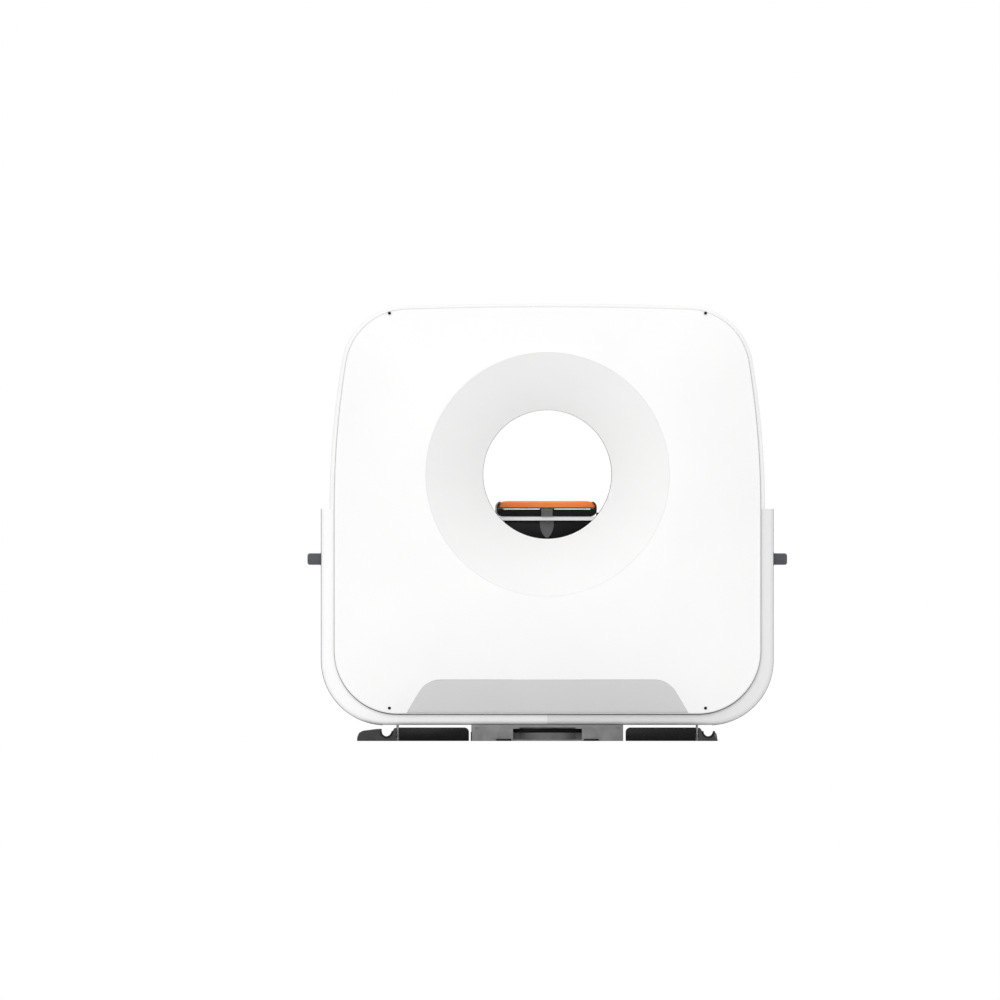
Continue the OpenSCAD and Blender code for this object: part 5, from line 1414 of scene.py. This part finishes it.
def seam_path(tree, low, high, z):
    """Points round the pad at height z, found on its surface by looking in from a loop round it."""
    outline = box_outline(low.x, high.x, low.y, high.y, 0.03, 0.02, 10)
    spacing, aim = 0.008, 0.06
    points = []
    for a, b in zip(outline, np.roll(outline, -1, 0)):
        count = max(1, int(np.linalg.norm(b - a) / spacing))
        for x, y in (a + (b - a) * t for t in np.linspace(0, 1, count, endpoint=False)):
            start = Vector((x, y, z))
            inner = Vector((min(max(x, low.x + aim), high.x - aim), min(max(y, low.y + aim), high.y - aim), z))
            hit = tree.ray_cast(start, (inner - start).normalized())
            if hit[0] is not None:
                points.append(tuple(hit[0]))
    return np.array(points)


def tube_along(points, r, sides=8):
    """Points and faces of a closed tube along a closed line."""
    n = len(points)
    ahead = np.roll(points, -1, 0) - np.roll(points, 1, 0)
    ahead /= np.linalg.norm(ahead, axis=1, keepdims=True)
    out = np.cross(ahead, (0, 0, 1.0))
    out /= np.linalg.norm(out, axis=1, keepdims=True)
    rise = np.cross(out, ahead)
    rows = []
    for k in range(sides):
        a = 2 * math.pi * k / sides
        rows.append(points + r * (math.cos(a) * out + math.sin(a) * rise))
    return stack(rows), grid_faces(sides, n, True, True)


class SCANNER_OT_mattress(bpy.types.Operator):
    """Fill the mattress by simulation, then add its welt and stitched seam"""
    bl_idname = "scanner.mattress"
    bl_label = "Mattress"

    def execute(self, context):
        p, low, high = pad(), LOW["mattress"], HIGH["mattress"]
        slack = Vector((p.slack, p.slack, 0))
        obj = link("mattress_work", pad_mesh(low + slack, high - slack - Vector((0, 0, p.slack))))
        remesh = obj.modifiers.new("Remesh", "REMESH")
        remesh.mode, remesh.voxel_size = "VOXEL", p.voxel * 1
        bake(obj)
        inflate(obj, low.z)
        smooth = obj.modifiers.new("Smooth", "SMOOTH")
        smooth.factor, smooth.iterations = 0.5, 3
        finer = obj.modifiers.new("Subdivision", "SUBSURF")
        finer.levels = finer.render_levels = 1
        bake(obj)
        mesh = obj.data
        co = coordinates(mesh)
        ends = co.min(0), co.max(0)
        co = np.array(low) + (co - ends[0]) * (np.array(high - low) / (ends[1] - ends[0]))
        centre, r = rim_centre(), p.rim_r - p.rim_t - p.rim_gap
        up = np.clip(co[:, 2] - centre[1], 0, r)
        free = centre[0] + np.sqrt(r * r - up * up)
        co[:, 0] = np.clip(co[:, 0], -free, free)
        move_to(mesh, co)
        bpy.data.objects.remove(obj)
        settle("mattress_pad", mesh, "mattress", smooth=60)
        tree = BVHTree.FromPolygons([v.co for v in mesh.vertices], [tuple(f.vertices) for f in mesh.polygons])
        line = seam_path(tree, low, high, low.z + p.welt_up)
        trim("mattress_welt", *tube_along(line, p.welt_r), "mattress", "black_plastic")
        line = seam_path(tree, low, high, low.z + p.seam_up)
        loop = built("seam", line, edges=[(i, (i + 1) % len(line)) for i in range(len(line))])
        values = {"Spacing": p.stitch_step, "Length": p.stitch_len, "Radius": p.stitch_r}
        grown("mattress_stitches", stitch_tree(FINISH["orange_vinyl"]), values, loop, "mattress")
        return {"FINISHED"}


# Stage


def dome_world():
    """A soft studio dome, brighter overhead and on the left, that the camera and reflections see as white."""
    st = bpy.context.scene.scanner_stage
    world = bpy.data.worlds.new("studio_dome")
    bpy.context.scene.world = world
    world.use_nodes = True
    world.node_tree.nodes.clear()
    nodes = Nodes(world.node_tree)
    way = nodes.add("ShaderNodeTexCoord").outputs["Generated"]
    across = nodes.add("ShaderNodeSeparateXYZ", {0: way}).outputs
    left = nodes.math("MAXIMUM", nodes.math("MULTIPLY", across[0], -1.0), 0.0)
    level = nodes.math("MULTIPLY_ADD", left, st.dome_side, st.dome)
    level = nodes.math("MULTIPLY_ADD", nodes.math("MAXIMUM", across[2], 0.0), st.dome_top, level)
    soft = nodes.add("ShaderNodeBackground", {"Color": (1, 1, 1, 1), "Strength": level}).outputs[0]
    white = nodes.add("ShaderNodeBackground", {"Color": (1, 1, 1, 1), "Strength": 1.0}).outputs[0]
    path = nodes.add("ShaderNodeLightPath").outputs
    seen = nodes.math("MAXIMUM", path["Is Camera Ray"], nodes.math(
        "MAXIMUM", path["Is Glossy Ray"], path["Is Transmission Ray"]))
    both = nodes.add("ShaderNodeMixShader", {0: seen, 1: soft, 2: white}).outputs[0]
    nodes.add("ShaderNodeOutputWorld", {"Surface": both})


def floor_material():
    """A pale matt floor with a faint mottle."""
    material, nodes = empty_material("pale_floor")
    place = nodes.add("ShaderNodeTexCoord").outputs["Object"]
    patches = nodes.spread(nodes.noise(place, 2.0, 4.0), 0.3, 0.7)
    colour = nodes.mix(patches, (0.9, 0.9, 0.9, 1), (0.88, 0.88, 0.88, 1))
    surface = nodes.add("ShaderNodeBsdfPrincipled", {
        "Base Color": colour, "Roughness": 0.8, "Specular IOR Level": 0.1}).outputs[0]
    nodes.add("ShaderNodeOutputMaterial", {"Surface": surface})
    return material


class SCANNER_OT_stage(bpy.types.Operator):
    """Set the camera, the studio dome, the soft lamp and the floor"""
    bl_idname = "scanner.stage"
    bl_label = "Stage"

    def execute(self, context):
        st = context.scene.scanner_stage
        scene = context.scene
        scene.view_settings.view_transform = "Standard"
        camera = bpy.data.cameras.new("camera")
        camera.type = "ORTHO"
        camera.ortho_scale = st.pixel * st.pixels
        camera.clip_end = 4 * st.reach
        eye = scene.camera = link("camera", camera)
        middle = st.pixels / 2
        aside = (st.back - covers().edge_y) * math.sin(st.yaw)
        eye.location = (
            (middle - st.axis_px) * st.pixel - aside, -st.back, (st.floor_px - middle) * st.pixel)
        eye.rotation_euler = (math.pi / 2, 0, -st.yaw)
        lamp = bpy.data.lights.new("soft_lamp", "SUN")
        lamp.energy, lamp.angle = st.lamp, st.lamp_width
        link("soft_lamp", lamp).rotation_euler = Vector(st.lamp_turn).to_track_quat("Z", "Y").to_euler()
        dome_world()
        corners = [(x * st.reach, y * st.reach, 0) for x, y in ((-1, -1), (1, -1), (1, 1), (-1, 1))]
        mesh = bpy.data.meshes.new("floor")
        mesh.from_pydata(corners, [], [(0, 1, 2, 3)])
        mesh.materials.append(floor_material())
        link("floor", mesh)
        return {"FINISHED"}


OPERATORS = (
    SCANNER_OT_finishes, SCANNER_OT_stage, SCANNER_OT_face_covers, SCANNER_OT_kick_panels,
    SCANNER_OT_upper_cover, SCANNER_OT_side_skirts, SCANNER_OT_bore_liners, SCANNER_OT_seals, SCANNER_OT_screws,
    SCANNER_OT_buffers, SCANNER_OT_base, SCANNER_OT_controls, SCANNER_OT_works, SCANNER_OT_table,
    SCANNER_OT_cradle, SCANNER_OT_mattress)


class SCANNER_PT_pieces(bpy.types.Panel):
    """Lists the scanner's pieces"""
    bl_idname = "SCANNER_PT_pieces"
    bl_label = "CT scanner"
    bl_space_type = "VIEW_3D"
    bl_region_type = "UI"
    bl_category = "CT scanner"

    def draw(self, context):
        for operator in OPERATORS:
            self.layout.operator(operator.bl_idname)


GROUPS = {
    "scanner_covers": CoverSizes, "scanner_details": DetailSizes, "scanner_pad": PadSizes,
    "scanner_colours": FinishColours, "scanner_stage": StageSettings}


def register():
    """Registers the sizes, the operators and the panel."""
    for cls in (*GROUPS.values(), *OPERATORS, SCANNER_PT_pieces):
        bpy.utils.register_class(cls)
    for name, cls in GROUPS.items():
        setattr(bpy.types.Scene, name, bpy.props.PointerProperty(type=cls))


def unregister():
    """Takes the sizes, the operators and the panel away again."""
    for name in GROUPS:
        delattr(bpy.types.Scene, name)
    for cls in reversed((*GROUPS.values(), *OPERATORS, SCANNER_PT_pieces)):
        bpy.utils.unregister_class(cls)


def main():
    """Builds every piece in order."""
    register()
    for operator in OPERATORS:
        group, name = operator.bl_idname.split(".")
        getattr(getattr(bpy.ops, group), name)()


if __name__ == "__main__":
    main()
